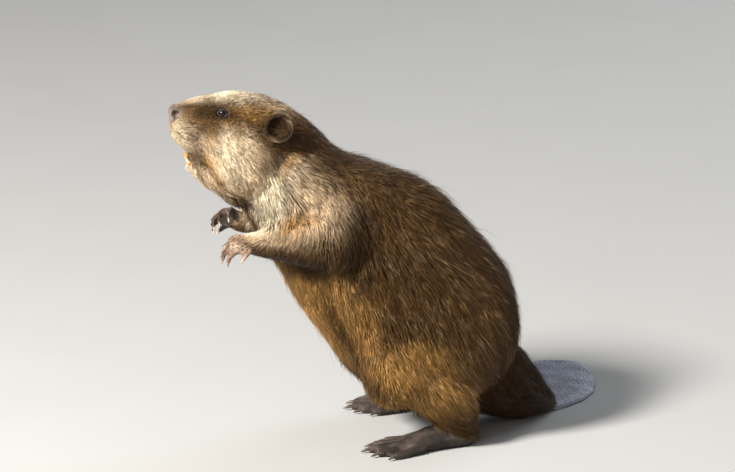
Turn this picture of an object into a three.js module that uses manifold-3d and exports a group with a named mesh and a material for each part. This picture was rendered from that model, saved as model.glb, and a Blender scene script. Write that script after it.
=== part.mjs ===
// A life-size beaver that stands upright on its hind feet, with its forepaws held in front of its chest
// and its flat tail laid on the ground towards its right. Each named part of the body is one solid, out
// to the tips of the coat. Millimetres. The beaver faces -X, its left side is -Y, and it stands on Z = 0.
import * as THREE from "three";
import { mergeVertices } from "three/addons/utils/BufferGeometryUtils.js";
import Module from "manifold-3d";

const wasm = await Module();
wasm.setup();

const GAP = 0.3; // between parts that meet
const BLEND = 26; // how softly a muscle runs into the trunk
const UP = new THREE.Vector3(0, 0, 1);
const AHEAD = new THREE.Vector3(1, 0, 0);
const SIDES = { left: -1, right: 1 };
const COLOURS = {
  coat: 0x6b4a2f,
  paleCoat: 0x98805f,
  darkCoat: 0x3f2a1b,
  bareSkin: 0x5f4a42,
  tailSkin: 0x3d3d48,
  noseSkin: 0x6e5b57,
  claw: 0x8a7a66,
  upperTooth: 0xc46a1c,
  lowerTooth: 0xd9b671,
  eye: 0x14100e,
};

// Body stations from nose to rump: [top x, top z, bottom x, bottom z, half width, level, power].
// Level is how far up the section it is widest, and power squares the section off as it grows past 2.
const BODY = {
  nose: [-297, 443, -297, 402, 18, 0.5, 2.3],
  lips: [-288, 449, -289, 392, 28, 0.38, 2.4],
  muzzle: [-275, 455, -275, 379, 34, 0.36, 2.4],
  face: [-260, 458, -259, 369, 39.5, 0.38, 2.3],
  eyes: [-243, 460, -243, 357, 46, 0.4, 2.3],
  brow: [-224, 463.5, -228, 343, 53, 0.42, 2.3],
  crown: [-202, 463, -214, 325, 60, 0.44, 2.3],
  ears: [-177, 455.5, -207, 311, 64, 0.46, 2.2],
  nape: [-150, 444, -204, 298, 68, 0.47, 2.1],
  neck: [-115, 415, -194, 278, 76, 0.47, 2.1],
  shoulder: [-73, 376, -176, 248, 88, 0.47, 2.1],
  chest: [-16, 356, -155, 214, 98, 0.46, 2.1],
  ribs: [36, 334, -137, 180, 108, 0.46, 2.1],
  waist: [80, 290, -112, 145, 116, 0.46, 2.1],
  loin: [115, 249, -88, 110, 118, 0.46, 2.1],
  hip: [142, 211, -66, 80, 112, 0.46, 2.1],
  rump: [156, 160, -38, 56, 96, 0.46, 2.1],
  seat: [148, 112, 18, 50, 72, 0.5, 2],
};
const NOSE_TIP = [-303, 424];
const SEAT_END = [98, 52];
const BODY_RINGS = 36;
const BODY_SIDES = 26;
// The stations at which the body is parted.
const PARTINGS = ["nape", "shoulder", "ribs", "loin"];

const JAW = {
  chin: [-279, 371, -278, 359, 11, 0.5, 2.3],
  lip: [-270, 371, -268, 347, 17, 0.5, 2.3],
  corner: [-256, 366, -255, 334, 25, 0.45, 2.2],
  throat: [-240, 356, -239, 322, 32, 0.45, 2.2],
  gullet: [-222, 342, -222, 311, 35, 0.45, 2.2],
};
const CHIN_TIP = [-283.5, 366];
const GULLET_END = [-205, 316];

const CHEEK = { x: -214, y: 38, z: 372, long: 40, half: 30, high: 42 };
const LIP_PAD = { x: -282, y: 17, z: 415, long: 17, half: 14, high: 20 };
const EYE = { x: -239, y: 33, z: 441, radius: 6.6 };
const NOSE = { x: -291, z: 438.5, length: 14, half: 17.5, height: 11.5 };
const NOSTRIL = { x: -299, y: 14.5, z: 440, radius: 4.2 };
const EAR = { x: -173, y: 66, z: 426, radius: 19, depth: 10, wall: 4.5, turn: -0.32, lean: 0.25 };

const INCISOR = { half: 3.9, thick: 3.6, edge: 1.6, gap: 0.25 };
const UPPER_INCISOR = { top: [-273, 398], middle: [-280.5, 387], tip: [-281.5, 378.5] };
const LOWER_INCISOR = { top: [-279.5, 372], middle: [-277.5, 366], tip: [-269, 357] };

// Limb rows: [x, y from the middle, z, half across, half above, half below].
const ARM = {
  shoulder: [-70, 56, 318, 46],
  elbow: [-110, 93, 272, 31],
  fore: [
    [-104, 90, 272, 24, 34, 26],
    [-138, 86, 271, 26, 36, 25],
    [-168, 68, 271, 21, 27, 20],
    [-203, 50, 274, 15, 15, 16],
  ],
  raise: { left: 0, right: 7 }, // how much higher each wrist is held
};

const HAUNCH = { x: 52, y: 68, z: 136, long: 96, half: 62, deep: 80, tilt: 0.45 };
const KNEE = { x: -30, y: 92, z: 92, radius: 42 };
const THIGH_REACH = 1.12; // how far the parted thigh reaches past the muscle
const THIGH_OUT = 16; // and how much further out it is parted
const SHANK = [
  [0, 98, 92, 34, 34, 34],
  [38, 98, 66, 36, 36, 36],
  [55, 94, 46, 31, 32, 32],
  [60, 91, 33, 25, 27, 27],
];
const HEEL = { x: 84, y: 88, turn: 0.13 };
const STEP_BACK = { left: 0, right: 20 }; // how much further back each foot stands

const TAIL = [
  [84, 0, 98, 68, 54, 66],
  [124, 4, 74, 61, 50, 66],
  [152, 14, 48, 50, 42, 50],
  [174, 29, 29, 39, 30, 31],
  [198, 52, 17, 32, 18, 18],
];
const PADDLE = { x: 227, y: 56, length: 244, half: 56, turn: 1.33, bow: 30, crown: 14, edge: 5 };

// Fingers from the thumb outwards: base is where they start ahead of the wrist, and ease is their share
// of the curl.
const FINGERS = [
  { base: 10, across: 15, length: 15, spread: 0.75, ease: 0.4 },
  { base: 26, across: 12.5, length: 23, spread: 0.26 },
  { base: 29, across: 4, length: 27, spread: 0.07 },
  { base: 27, across: -4.5, length: 26, spread: -0.16 },
  { base: 21, across: -13, length: 23, spread: -0.42 },
];
const PALM = [
  [-3, 0, -1, 12.5, 10.5, 10.5],
  [10, 0, -1, 16, 10, 10.5],
  [26, 0, -1.5, 16.5, 7, 8],
];
const FRONT_CLAW = { length: 6.2, hook: 1.6, half: 2.3 };
const HIND_CLAW = { length: 15, hook: 2, half: 3 };
const FINGER_ROOT = 4; // how far back in the palm a finger starts
const FINGER_SHARES = [0.1, 0.34, 0.32, 0.24]; // of the finger's length, from one joint to the next
const FINGER_BENDS = [0.05, 0.42, 0.9, 1.25]; // how far each of these stretches has turned down
const FINGER_HALVES = [4.9, 4.7, 4.4, 4.1, 3.5];
const FIST = 1.75; // the most that a fingertip bends down from the palm
const HANDS = {
  left: { ahead: [-0.97, 0.1, -0.1], back: [-0.25, -0.45, 0.86], curl: 1.1 },
  right: { ahead: [-0.9, -0.14, 0.34], back: [-0.34, 0.6, 0.72], curl: 1.5 },
};
const TOES = [
  { base: 86, across: 24, length: 34, spread: 0.4 },
  { base: 94, across: 14, length: 46, spread: 0.22 },
  { base: 98, across: 2, length: 54, spread: 0.04 },
  { base: 94, across: -11, length: 54, spread: -0.16 },
  { base: 86, across: -23, length: 48, spread: -0.36 },
];

// Along a toe: the share of its length, then the height of its middle, half across, half above and
// half below.
const TOE_ROWS = [
  { share: 0, rest: [7, 7.5, 7, 8] },
  { share: 0.5, rest: [6.5, 7, 6, 8] },
  { share: 0.85, rest: [5.5, 6, 5.5, 8] },
];
const SOLE = [
  [18, 0, 14, 17, 18, 18],
  [54, 0, 14, 21, 18, 18],
  [94, 0, 8, 31, 10, 12],
];
const WEB = { start: 60, inset: 9, thick: 5 };

const point = (x, y, z) => new THREE.Vector3(x, y, z);

function solid(geometry) {
  const bare = geometry.clone();
  bare.deleteAttribute("normal");
  bare.deleteAttribute("uv");
  const merged = mergeVertices(bare, 1e-4);
  return new wasm.Manifold(
    new wasm.Mesh({
      numProp: 3,
      vertProperties: merged.attributes.position.array,
      triVerts: new Uint32Array(merged.index.array),
    }),
  );
}

// A number row for each of count places along the given rows, on a smooth curve through them all.
function along(rows, count) {
  return Array.from({ length: count }, (_, i) => {
    const place = (i / (count - 1)) * (rows.length - 1);
    const k = Math.min(Math.floor(place), rows.length - 2);
    const f = place - k;
    const near = [k - 1, k, k + 1, k + 2].map((n) => THREE.MathUtils.clamp(n, 0, rows.length - 1));
    const [a, b, c, d] = near.map((n) => rows[n]);
    return b.map((v, j) => {
      const bend = 2 * a[j] - 5 * v + 4 * c[j] - d[j];
      const twist = 3 * v - a[j] - 3 * c[j] + d[j];
      return v + 0.5 * f * (c[j] - a[j] + f * (bend + f * twist));
    });
  });
}

const rounded = (v, power) => Math.sign(v) * Math.abs(v) ** (2 / power);

// A closed surface round a list of rings, which starts and ends in a rounded cap that reaches a point.
function wrap(rings, start, end, around, { caps = 2, swell = null } = {}) {
  const cap = (ring, tip, share) => {
    const swing = (share * Math.PI) / 2;
    return {
      centre: tip.clone().lerp(ring.centre, 1 - Math.cos(swing)),
      side: ring.side.clone().multiplyScalar(Math.sin(swing)),
      up: ring.up.clone().multiplyScalar(Math.sin(swing)),
      down: ring.down.clone().multiplyScalar(Math.sin(swing)),
      power: ring.power,
    };
  };
  const shares = Array.from({ length: caps }, (_, i) => (i + 1) / (caps + 1));
  const all = [
    ...shares.map((s) => cap(rings[0], start, s)),
    ...rings,
    ...shares.reverse().map((s) => cap(rings.at(-1), end, s)),
  ];
  const geometry = new THREE.SphereGeometry(1, around, all.length + 1);
  const place = geometry.attributes.position;
  const row = around + 1;
  for (let i = 0; i < place.count; i++) {
    const level = Math.floor(i / row);
    const swing = ((i % row) / around) * 2 * Math.PI;
    let spot = level === 0 ? start : end;
    if (level > 0 && level <= all.length) {
      const ring = all[level - 1];
      const across = rounded(-Math.cos(swing), ring.power);
      const rise = rounded(Math.sin(swing), ring.power);
      spot = ring.centre
        .clone()
        .addScaledVector(ring.side, across)
        .addScaledVector(rise > 0 ? ring.up : ring.down, Math.abs(rise));
      if (swell) spot = swell(ring.centre, spot);
    }
    place.setXYZ(i, spot.x, spot.y, spot.z);
  }
  return solid(geometry);
}

// Distances to the muscles that swell the body, less than zero inside them.
function muscle(centre, radii, tilt = 0) {
  const turn = new THREE.Matrix4().makeRotationY(-tilt).setPosition(centre).invert();
  const size = point(...radii);
  return (spot) => {
    const local = spot.clone().applyMatrix4(turn).divide(size);
    const far = local.length();
    return (far * (far - 1)) / Math.max(local.divide(size).length(), 1e-9);
  };
}

function tapered([ax, ay, az, ar], [bx, by, bz, br], side) {
  const line = new THREE.Line3(point(ax, side * ay, az), point(bx, side * by, bz));
  return (spot) => {
    const share = line.closestPointToPointParameter(spot, true);
    return line.at(share, point(0, 0, 0)).distanceTo(spot) - THREE.MathUtils.lerp(ar, br, share);
  };
}

function sideMuscles(side) {
  const placed = ({ x, y, z }) => point(x, side * y, z);
  const haunch = [HAUNCH.long, HAUNCH.half, HAUNCH.deep];
  return [
    [muscle(placed(HAUNCH), haunch, HAUNCH.tilt), BLEND],
    [muscle(placed(KNEE), Array(3).fill(KNEE.radius)), BLEND],
    [tapered(ARM.shoulder, ARM.elbow, side), BLEND],
    [muscle(placed(CHEEK), [CHEEK.long, CHEEK.half, CHEEK.high]), BLEND],
    [muscle(placed(LIP_PAD), [LIP_PAD.long, LIP_PAD.half, LIP_PAD.high]), BLEND / 4],
  ];
}

const muscles = Object.values(SIDES).flatMap(sideMuscles);

function blend(a, b, width) {
  const h = Math.max(width - Math.abs(a - b), 0) / width;
  return Math.min(a, b) - (h * h * width) / 4;
}

// Moves a spot of the body straight out from the middle of its ring to where the muscles swell it.
function swollen(grow) {
  const furthest = 80;
  return (centre, spot) => {
    const out = spot.clone().sub(centre);
    const reach = out.length();
    out.normalize();
    const field = (t) => {
      const at = centre.clone().addScaledVector(out, t);
      return muscles.reduce((least, [distance, soft]) => blend(least, distance(at) - grow, soft), t - reach);
    };
    let outer = reach + furthest;
    while (outer > reach && field(outer) > 0) outer -= 2;
    let inner = outer;
    outer += 2;
    for (let i = 0; i < 12; i++) {
      const middle = (inner + outer) / 2;
      if (field(middle) > 0) outer = middle;
      else inner = middle;
    }
    return centre.clone().addScaledVector(out, outer);
  };
}

// A solid with the given top and bottom lines in the beaver's middle plane.
function profile(stations, startTip, endTip, rings, around, grow, swell) {
  const list = along(Object.values(stations), rings).map(([tx, tz, bx, bz, half, level, power]) => {
    const bottom = point(bx, 0, bz);
    const rise = point(tx, 0, tz).sub(bottom);
    const out = rise.clone().setLength(grow);
    const centre = bottom.clone().addScaledVector(rise, level);
    return {
      centre,
      side: point(0, half + grow, 0),
      up: rise.clone().multiplyScalar(1 - level).add(out),
      down: rise.clone().multiplyScalar(-level).sub(out),
      power,
    };
  });
  const tip = ([x, z], ring) => {
    const end = point(x, 0, z);
    return end.add(end.clone().sub(ring.centre).setLength(grow));
  };
  return wrap(list, tip(startTip, list[0]), tip(endTip, list.at(-1)), around, { swell });
}

// A round-ended limb along rows of [x, y, z, half across, half above, half below].
function limb(rows, { count = 7, around = 14, grow = 0, side = 1, over = UP, caps = 2, power = 2 } = {}) {
  const list = along(rows, count).map(([x, y, z, ...halves]) => ({ centre: point(x, y * side, z), halves }));
  const rings = list.map(({ centre, halves: [half, above, below] }, i) => {
    const before = list[Math.max(i - 1, 0)].centre;
    const after = list[Math.min(i + 1, list.length - 1)].centre;
    const ahead = after.clone().sub(before).normalize();
    const across = over.clone().cross(ahead).normalize();
    const rise = ahead.clone().cross(across);
    return {
      centre,
      ahead,
      side: across.multiplyScalar(half + grow),
      up: rise.clone().multiplyScalar(above + grow),
      down: rise.multiplyScalar(-below - grow),
      power,
    };
  });
  const reach = ({ side: s, up }) => Math.min(s.length(), up.length());
  const first = rings[0];
  const last = rings.at(-1);
  const start = first.centre.clone().addScaledVector(first.ahead, -reach(first));
  const end = last.centre.clone().addScaledVector(last.ahead, reach(last));
  return wrap(rings, start, end, around, { caps });
}

function ball(radii, place, around = 20, rings = 12) {
  return solid(new THREE.SphereGeometry(1, around, rings).scale(...radii).applyMatrix4(place));
}

const bodies = new Map();

function body(grow = 0) {
  if (!bodies.has(grow)) {
    bodies.set(grow, profile(BODY, NOSE_TIP, SEAT_END, BODY_RINGS, BODY_SIDES, grow, swollen(grow)));
  }
  return bodies.get(grow);
}

const jaw = (grow = 0) => profile(JAW, CHIN_TIP, GULLET_END, 7, 12, grow, null);

// The slices of a solid between one parting and the next, a gap apart, from nose to rump.
function sliced(whole) {
  const slices = [];
  let rest = whole;
  for (const [tx, tz, bx, bz] of PARTINGS.map((name) => BODY[name])) {
    const back = point(tz - bz, 0, bx - tx).normalize();
    const offset = back.dot(point(tx, 0, tz));
    slices.push(rest.trimByPlane(back.clone().negate().toArray(), -offset + GAP / 2));
    rest = rest.trimByPlane(back.toArray(), offset + GAP / 2);
  }
  return [...slices, rest];
}

// The space that the thigh takes up, from the hip to the knee.
function thighSpace(side, grow = 0) {
  const place = new THREE.Matrix4().makeRotationY(-HAUNCH.tilt);
  place.setPosition(HAUNCH.x, side * (HAUNCH.y + THIGH_OUT), HAUNCH.z);
  const [long, half, deep] = [HAUNCH.long, HAUNCH.half, HAUNCH.deep].map((v) => v * THIGH_REACH + grow);
  const hip = ball([long, half, deep], place, 14, 7);
  const knee = new THREE.Matrix4().makeTranslation(KNEE.x, side * KNEE.y, KNEE.z);
  return hip.add(ball(Array(3).fill(KNEE.radius * THIGH_REACH + grow), knee, 10, 5));
}

// The space that the upper arm takes up, from the shoulder to the elbow.
function armSpace(side, grow = 0) {
  const rows = [ARM.shoulder, ARM.elbow].map(([x, y, z, r]) => [x, y + 6, z, r + 2, r + 2, r + 2]);
  return limb(rows, { side, grow, count: 3, around: 10, over: AHEAD });
}

function shank(side, back, grow = 0) {
  const rows = SHANK.map(([x, ...rest], i) => [x + (back * i) / (SHANK.length - 1), ...rest]);
  return limb(rows, { side, grow, count: 5, around: 12, over: AHEAD });
}

function foreArm(side, raise, grow = 0) {
  const step = raise / (ARM.fore.length - 1);
  const rows = ARM.fore.map(([x, y, z, ...rest], i) => [x, y, z + step * i, ...rest]);
  return limb(rows, { side, grow, count: 5, around: 12 });
}

const beside = ({ x, y, z }, side) => new THREE.Matrix4().makeTranslation(x, side * y, z);

const eye = (side, grow = 0) => ball(Array(3).fill(EYE.radius + grow), beside(EYE, side), 10, 6);

function nosePad(grow = 0) {
  const place = new THREE.Matrix4().makeTranslation(NOSE.x, 0, NOSE.z);
  return ball([NOSE.length, NOSE.half, NOSE.height].map((v) => v + grow), place, 12, 7);
}

const nostril = (side) => ball(Array(3).fill(NOSTRIL.radius), beside(NOSTRIL, side), 6, 5);

// A round cup that opens outwards and a little forwards.
function ear(side) {
  const place = new THREE.Matrix4()
    .makeRotationZ(-side * EAR.turn)
    .multiply(new THREE.Matrix4().makeRotationX(side * EAR.lean))
    .setPosition(EAR.x, side * EAR.y, EAR.z);
  const cup = ball([EAR.radius, EAR.depth, EAR.radius], new THREE.Matrix4(), 12, 6);
  const inner = EAR.radius - EAR.wall;
  const sunk = new THREE.Matrix4().makeTranslation(0, side * EAR.wall, 0);
  const hollow = ball([inner, EAR.depth, inner], sunk, 10, 5);
  return cup.subtract(hollow).transform(place.elements);
}

function incisor({ top, middle, tip }, side) {
  const y = INCISOR.half + INCISOR.gap;
  const fronts = [INCISOR.thick, INCISOR.thick, INCISOR.edge];
  const rows = [top, middle, tip].map(([x, z], i) => [x, y, z, INCISOR.half, fronts[i], INCISOR.edge]);
  return limb(rows, { side, count: 4, around: 8, caps: 1, over: AHEAD, power: 3 });
}

const aboveFloor = (shape, height = 0) => shape.trimByPlane([0, 0, 1], height);

const tailBase = (grow = 0) => aboveFloor(limb(TAIL, { count: 7, around: 14, grow }));

// A flat oval paddle that is thickest down its middle and near its root, where it bows round to meet
// the tail's base.
function tailPaddle() {
  const sunk = 4;
  const place = new THREE.Matrix4().makeRotationZ(PADDLE.turn).setPosition(PADDLE.x, PADDLE.y, 0);
  const rows = along([[0], [1]], 11).map(([s]) => {
    const widening = 0.58 + 0.42 * Math.sin(Math.min(s / 0.5, 1) * (Math.PI / 2));
    const narrowing = 1 - 0.34 * Math.max(0, (s - 0.55) / 0.45) ** 2;
    const crown = THREE.MathUtils.lerp(PADDLE.crown, PADDLE.edge, s);
    const bow = PADDLE.bow * Math.max(0, 1 - s / 0.4) ** 2;
    return [s * (PADDLE.length - 14), bow, sunk, PADDLE.half * widening * narrowing, crown, 6];
  });
  return aboveFloor(limb(rows, { count: 9, around: 14, power: 2.3 }), sunk)
    .translate([0, 0, -sunk])
    .transform(place.elements);
}

// Places a hand by the way its fingers point and the way the back of it faces.
function handPlace(name) {
  const side = SIDES[name];
  const ahead = point(...HANDS[name].ahead).normalize();
  const across = point(...HANDS[name].back).cross(ahead).normalize();
  const [x, y, z] = ARM.fore.at(-1);
  return new THREE.Matrix4()
    .makeBasis(ahead, across, ahead.clone().cross(across))
    .setPosition(x, side * y, z + ARM.raise[name]);
}

// The middle line of a finger, which bends down at each joint, with its thickness: the last row is its tip.
function fingerRows({ base, across, length, spread, ease = 1 }, side, curl) {
  const bends = FINGER_BENDS.map((v) => Math.min(v * curl * ease, FIST));
  const widths = FINGER_HALVES;
  let place = point(base - FINGER_ROOT, side * across, 0.5);
  const rows = [[...place.toArray(), widths[0], widths[0], widths[0]]];
  FINGER_SHARES.forEach((share, i) => {
    const run = length * share;
    const level = Math.cos(bends[i]);
    const step = point(level * Math.cos(spread), side * level * Math.sin(spread), -Math.sin(bends[i]));
    place = place.clone().addScaledVector(step, run);
    rows.push([...place.toArray(), widths[i + 1], widths[i + 1], widths[i + 1]]);
  });
  return rows;
}

// A claw that carries on from the end of a finger or toe and hooks down.
function claw(rows, { length, hook, half }) {
  const [before, tip] = rows.slice(-2).map((row) => point(...row));
  const ahead = tip.clone().sub(before).normalize();
  const at = (share, thin) => {
    const place = tip
      .clone()
      .addScaledVector(ahead, length * share)
      .addScaledVector(UP, -hook * share * share);
    return [...place.toArray(), half * thin, half * thin, half * thin];
  };
  return limb([at(0.1, 1), at(0.55, 0.8), at(1, 0.3)], { count: 3, around: 5, caps: 0 });
}

// A palm or sole with its fingers or toes.
function joined(middle, digits, around, grow) {
  const ends = digits.map((rows) => limb(rows, { count: digits[0].length - 1, around: 6, caps: 1, grow }));
  return ends.reduce((sum, end) => sum.add(end), limb(middle, { count: 4, around, grow }));
}

function hand(name) {
  const side = -SIDES[name]; // the thumb is on the inside
  const fingers = FINGERS.map((f) => fingerRows(f, side, HANDS[name].curl));
  const [whole, space] = [0, GAP].map((grow) => joined(PALM, fingers, 10, grow));
  const place = handPlace(name).elements;
  const claws = fingers.map((rows) => claw(rows, FRONT_CLAW).subtract(space).transform(place));
  return { whole: whole.transform(place), claws };
}

function footPlace(side, back) {
  const place = new THREE.Matrix4().makeRotationZ(Math.PI - side * HEEL.turn);
  return place.setPosition(HEEL.x + back, side * HEEL.y, 0);
}

function toeRows({ base, across, length, spread }, side) {
  return TOE_ROWS.map(({ share, rest }) => [
    base + share * length * Math.cos(spread),
    side * (across + share * length * Math.sin(spread)),
    ...rest,
  ]);
}

// The skin between the toes, as a flat fan whose edge is drawn in between one toe and the next.
function web(side) {
  const tips = TOES.map((t) => toeRows(t, side).at(-1));
  const outline = new THREE.Shape().moveTo(WEB.start, 0);
  tips.forEach(([x, y], i) => {
    if (i === 0) outline.lineTo(x, y);
    else {
      const [px, py] = tips[i - 1];
      outline.quadraticCurveTo((x + px) / 2 - WEB.inset, (y + py) / 2, x, y);
    }
  });
  outline.closePath();
  const flat = { depth: WEB.thick, bevelEnabled: false, curveSegments: 2 };
  return solid(new THREE.ExtrudeGeometry(outline, flat));
}

function foot(side, back) {
  const toes = TOES.map((t) => toeRows(t, side));
  const [whole, space] = [0, GAP].map((grow) => joined(SOLE, toes, 10, grow));
  const place = footPlace(side, back).elements;
  const claws = toes.map((rows) => claw(rows, HIND_CLAW).subtract(space).transform(place));
  return { whole: aboveFloor(whole.add(web(side))).transform(place), claws };
}

const group = new THREE.Group();

function addPart(name, shape, colour, roughness = 0.8) {
  const { numProp, vertProperties, triVerts } = shape.getMesh();
  const places = new Float32Array((vertProperties.length / numProp) * 3);
  for (let i = 0; i * numProp < vertProperties.length; i++) {
    places.set(vertProperties.subarray(i * numProp, i * numProp + 3), i * 3);
  }
  const geometry = new THREE.BufferGeometry()
    .setAttribute("position", new THREE.BufferAttribute(places, 3))
    .setIndex(new THREE.BufferAttribute(triVerts, 1));
  geometry.computeVertexNormals();
  const material = new THREE.MeshStandardMaterial({ color: colour, roughness, metalness: 0 });
  const mesh = new THREE.Mesh(geometry, material);
  mesh.name = name;
  group.add(mesh);
}

function addTrunk() {
  let rest = body();
  for (const [name, side] of Object.entries(SIDES)) {
    addPart("thigh_" + name, rest.intersect(thighSpace(side)), COLOURS.coat);
    rest = rest.subtract(thighSpace(side, GAP));
    addPart("upper_arm_" + name, rest.intersect(armSpace(side)), COLOURS.coat);
    rest = rest.subtract(armSpace(side, GAP));
  }
  const [front, ...trunk] = sliced(rest);
  const head = Object.values(SIDES).reduce((sum, side) => sum.subtract(eye(side, GAP)), front);
  addPart("head", head.subtract(nosePad(GAP)), COLOURS.paleCoat);
  const nose = Object.values(SIDES).reduce((sum, side) => sum.subtract(nostril(side)), nosePad());
  addPart("nose", nose, COLOURS.noseSkin, 0.5);
  addPart("lower_jaw", jaw().subtract(body(GAP)), COLOURS.paleCoat);
  ["neck", "chest", "belly", "rump"].forEach((name, i) => addPart(name, trunk[i], COLOURS.coat));
}

function addFace(side, name) {
  addPart("eye_" + name, eye(side), COLOURS.eye, 0.1);
  addPart("ear_" + name, ear(side).subtract(body(GAP)), COLOURS.darkCoat);
  const clear = (tooth) => tooth.subtract(body(GAP)).subtract(jaw(GAP));
  addPart("upper_incisor_" + name, clear(incisor(UPPER_INCISOR, side)), COLOURS.upperTooth, 0.35);
  addPart("lower_incisor_" + name, clear(incisor(LOWER_INCISOR, side)), COLOURS.lowerTooth, 0.35);
}

function addArm(side, name) {
  const raise = ARM.raise[name];
  const { whole, claws } = hand(name);
  addPart("forearm_" + name, foreArm(side, raise).subtract(body(GAP)), COLOURS.coat);
  const clear = whole.subtract(foreArm(side, raise, GAP)).subtract(body(GAP));
  addPart("hand_" + name, clear, COLOURS.bareSkin, 0.6);
  claws.forEach((c, i) => addPart(`front_claw_${name}_${i + 1}`, c, COLOURS.claw, 0.4));
}

function addLeg(side, name) {
  const back = STEP_BACK[name];
  const { whole, claws } = foot(side, back);
  addPart("shank_" + name, shank(side, back).subtract(body(GAP)), COLOURS.darkCoat);
  addPart("foot_" + name, whole.subtract(shank(side, back, GAP)), COLOURS.bareSkin, 0.6);
  claws.forEach((c, i) => addPart(`hind_claw_${name}_${i + 1}`, c, COLOURS.claw, 0.4));
}

function addTail() {
  const legs = Object.entries(SIDES).map(([name, side]) => shank(side, STEP_BACK[name], GAP));
  const base = legs.reduce((rest, leg) => rest.subtract(leg), tailBase().subtract(body(GAP)));
  addPart("tail_base", base, COLOURS.darkCoat);
  addPart("tail_paddle", tailPaddle().subtract(tailBase(GAP)), COLOURS.tailSkin, 0.55);
}

addTrunk();
for (const [name, side] of Object.entries(SIDES)) {
  addFace(side, name);
  addArm(side, name);
  addLeg(side, name);
}
addTail();

// The origin is under the middle of the whole, on the ground.
const bounds = new THREE.Box3().setFromObject(group);
const middle = bounds.getCenter(new THREE.Vector3());
group.position.set(-middle.x, -middle.y, -bounds.min.z);

export default group;
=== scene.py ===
import math

import bmesh
import bpy
import numpy as np
from bpy.props import FloatProperty, FloatVectorProperty, IntProperty, PointerProperty
from mathutils import Matrix, Vector
from mathutils.bvhtree import BVHTree
from mathutils.kdtree import KDTree


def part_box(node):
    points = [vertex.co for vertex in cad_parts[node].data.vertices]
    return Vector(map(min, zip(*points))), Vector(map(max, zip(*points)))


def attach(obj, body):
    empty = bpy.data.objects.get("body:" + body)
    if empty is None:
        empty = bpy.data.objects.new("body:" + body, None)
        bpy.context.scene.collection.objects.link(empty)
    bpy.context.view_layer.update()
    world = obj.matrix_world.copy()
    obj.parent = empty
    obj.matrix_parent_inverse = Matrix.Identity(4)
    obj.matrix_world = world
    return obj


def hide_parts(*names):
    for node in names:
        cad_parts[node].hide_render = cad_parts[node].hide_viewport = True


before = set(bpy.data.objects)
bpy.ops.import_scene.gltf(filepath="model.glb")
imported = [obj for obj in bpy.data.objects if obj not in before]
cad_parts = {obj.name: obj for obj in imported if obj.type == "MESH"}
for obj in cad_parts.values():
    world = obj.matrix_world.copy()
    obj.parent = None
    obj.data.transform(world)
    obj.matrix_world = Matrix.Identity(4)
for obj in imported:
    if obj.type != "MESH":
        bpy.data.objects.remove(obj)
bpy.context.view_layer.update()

bl_info = {
    "name": "Standing beaver",
    "version": (1, 0, 0),
    "blender": (4, 5, 0),
    "location": "View3D > Sidebar > Beaver",
    "description": "Skin, coat, eyes, teeth and claws of a beaver sitting up on its hind feet",
    "category": "Object",
}

MM = 0.001
SEED = 20
VIEW_MIDDLE = (-43.2, 0, 262.9)  # what the camera looks at, in the body's own millimetres
SIDES = {"left": -1, "right": 1}
EYE_AT = (-239, -33, 441)  # the left eye in the body's own millimetres


def box_centre(node):
    low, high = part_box(node)
    return (low + high) / 2


ORIGIN = box_centre("eye_left") - Vector(EYE_AT) * MM


def at(x, y, z):
    """A place given in the body's own millimetres, in the row frame."""
    return Vector((x, y, z)) * MM + ORIGIN


def own_mm(points):
    """Row frame points as the body's own millimetres."""
    return (np.asarray(points) - np.array(ORIGIN)) / MM


# Sizes of the work on the skin, in millimetres, and the places along the body where it changes.
WELD = 1e-6  # in metres
GAP_CLOSER = 0.3  # the solids stand this far apart
OUTER_VOXEL = 2.4
THIN_INSET = 0.15  # how far the skin of the bare parts lies inside the solids
HEAD_END = (-215, -185)  # the body's skin is smoothed more than the head's
MUZZLE_END = -232  # behind it the coat hides the skin, which can be coarse
SOLE_TOP = 2.5
SCALE_EDGE = 0.3  # width of the slope at a tail scale's edge, as a share of the scale
GAZE = (-0.22, 0.95, 0.2)  # the way that the eyes look, with y out to the side

PAIRED_FLESH = ("ear", "upper_arm", "forearm", "hand", "thigh", "shank", "foot")
FLESH = ["head", "lower_jaw", "nose", "neck", "chest", "belly", "rump", "tail_base", "tail_paddle"]
FLESH += [f"{part}_{side}" for part in PAIRED_FLESH for side in SIDES]
BARE = ("nose", "hand_left", "hand_right", "foot_left", "foot_right", "tail_paddle")
EARS = ("ear_left", "ear_right")
ARMS = tuple(f"{part}_{side}" for part in ("upper_arm", "forearm", "hand") for side in SIDES)

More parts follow.
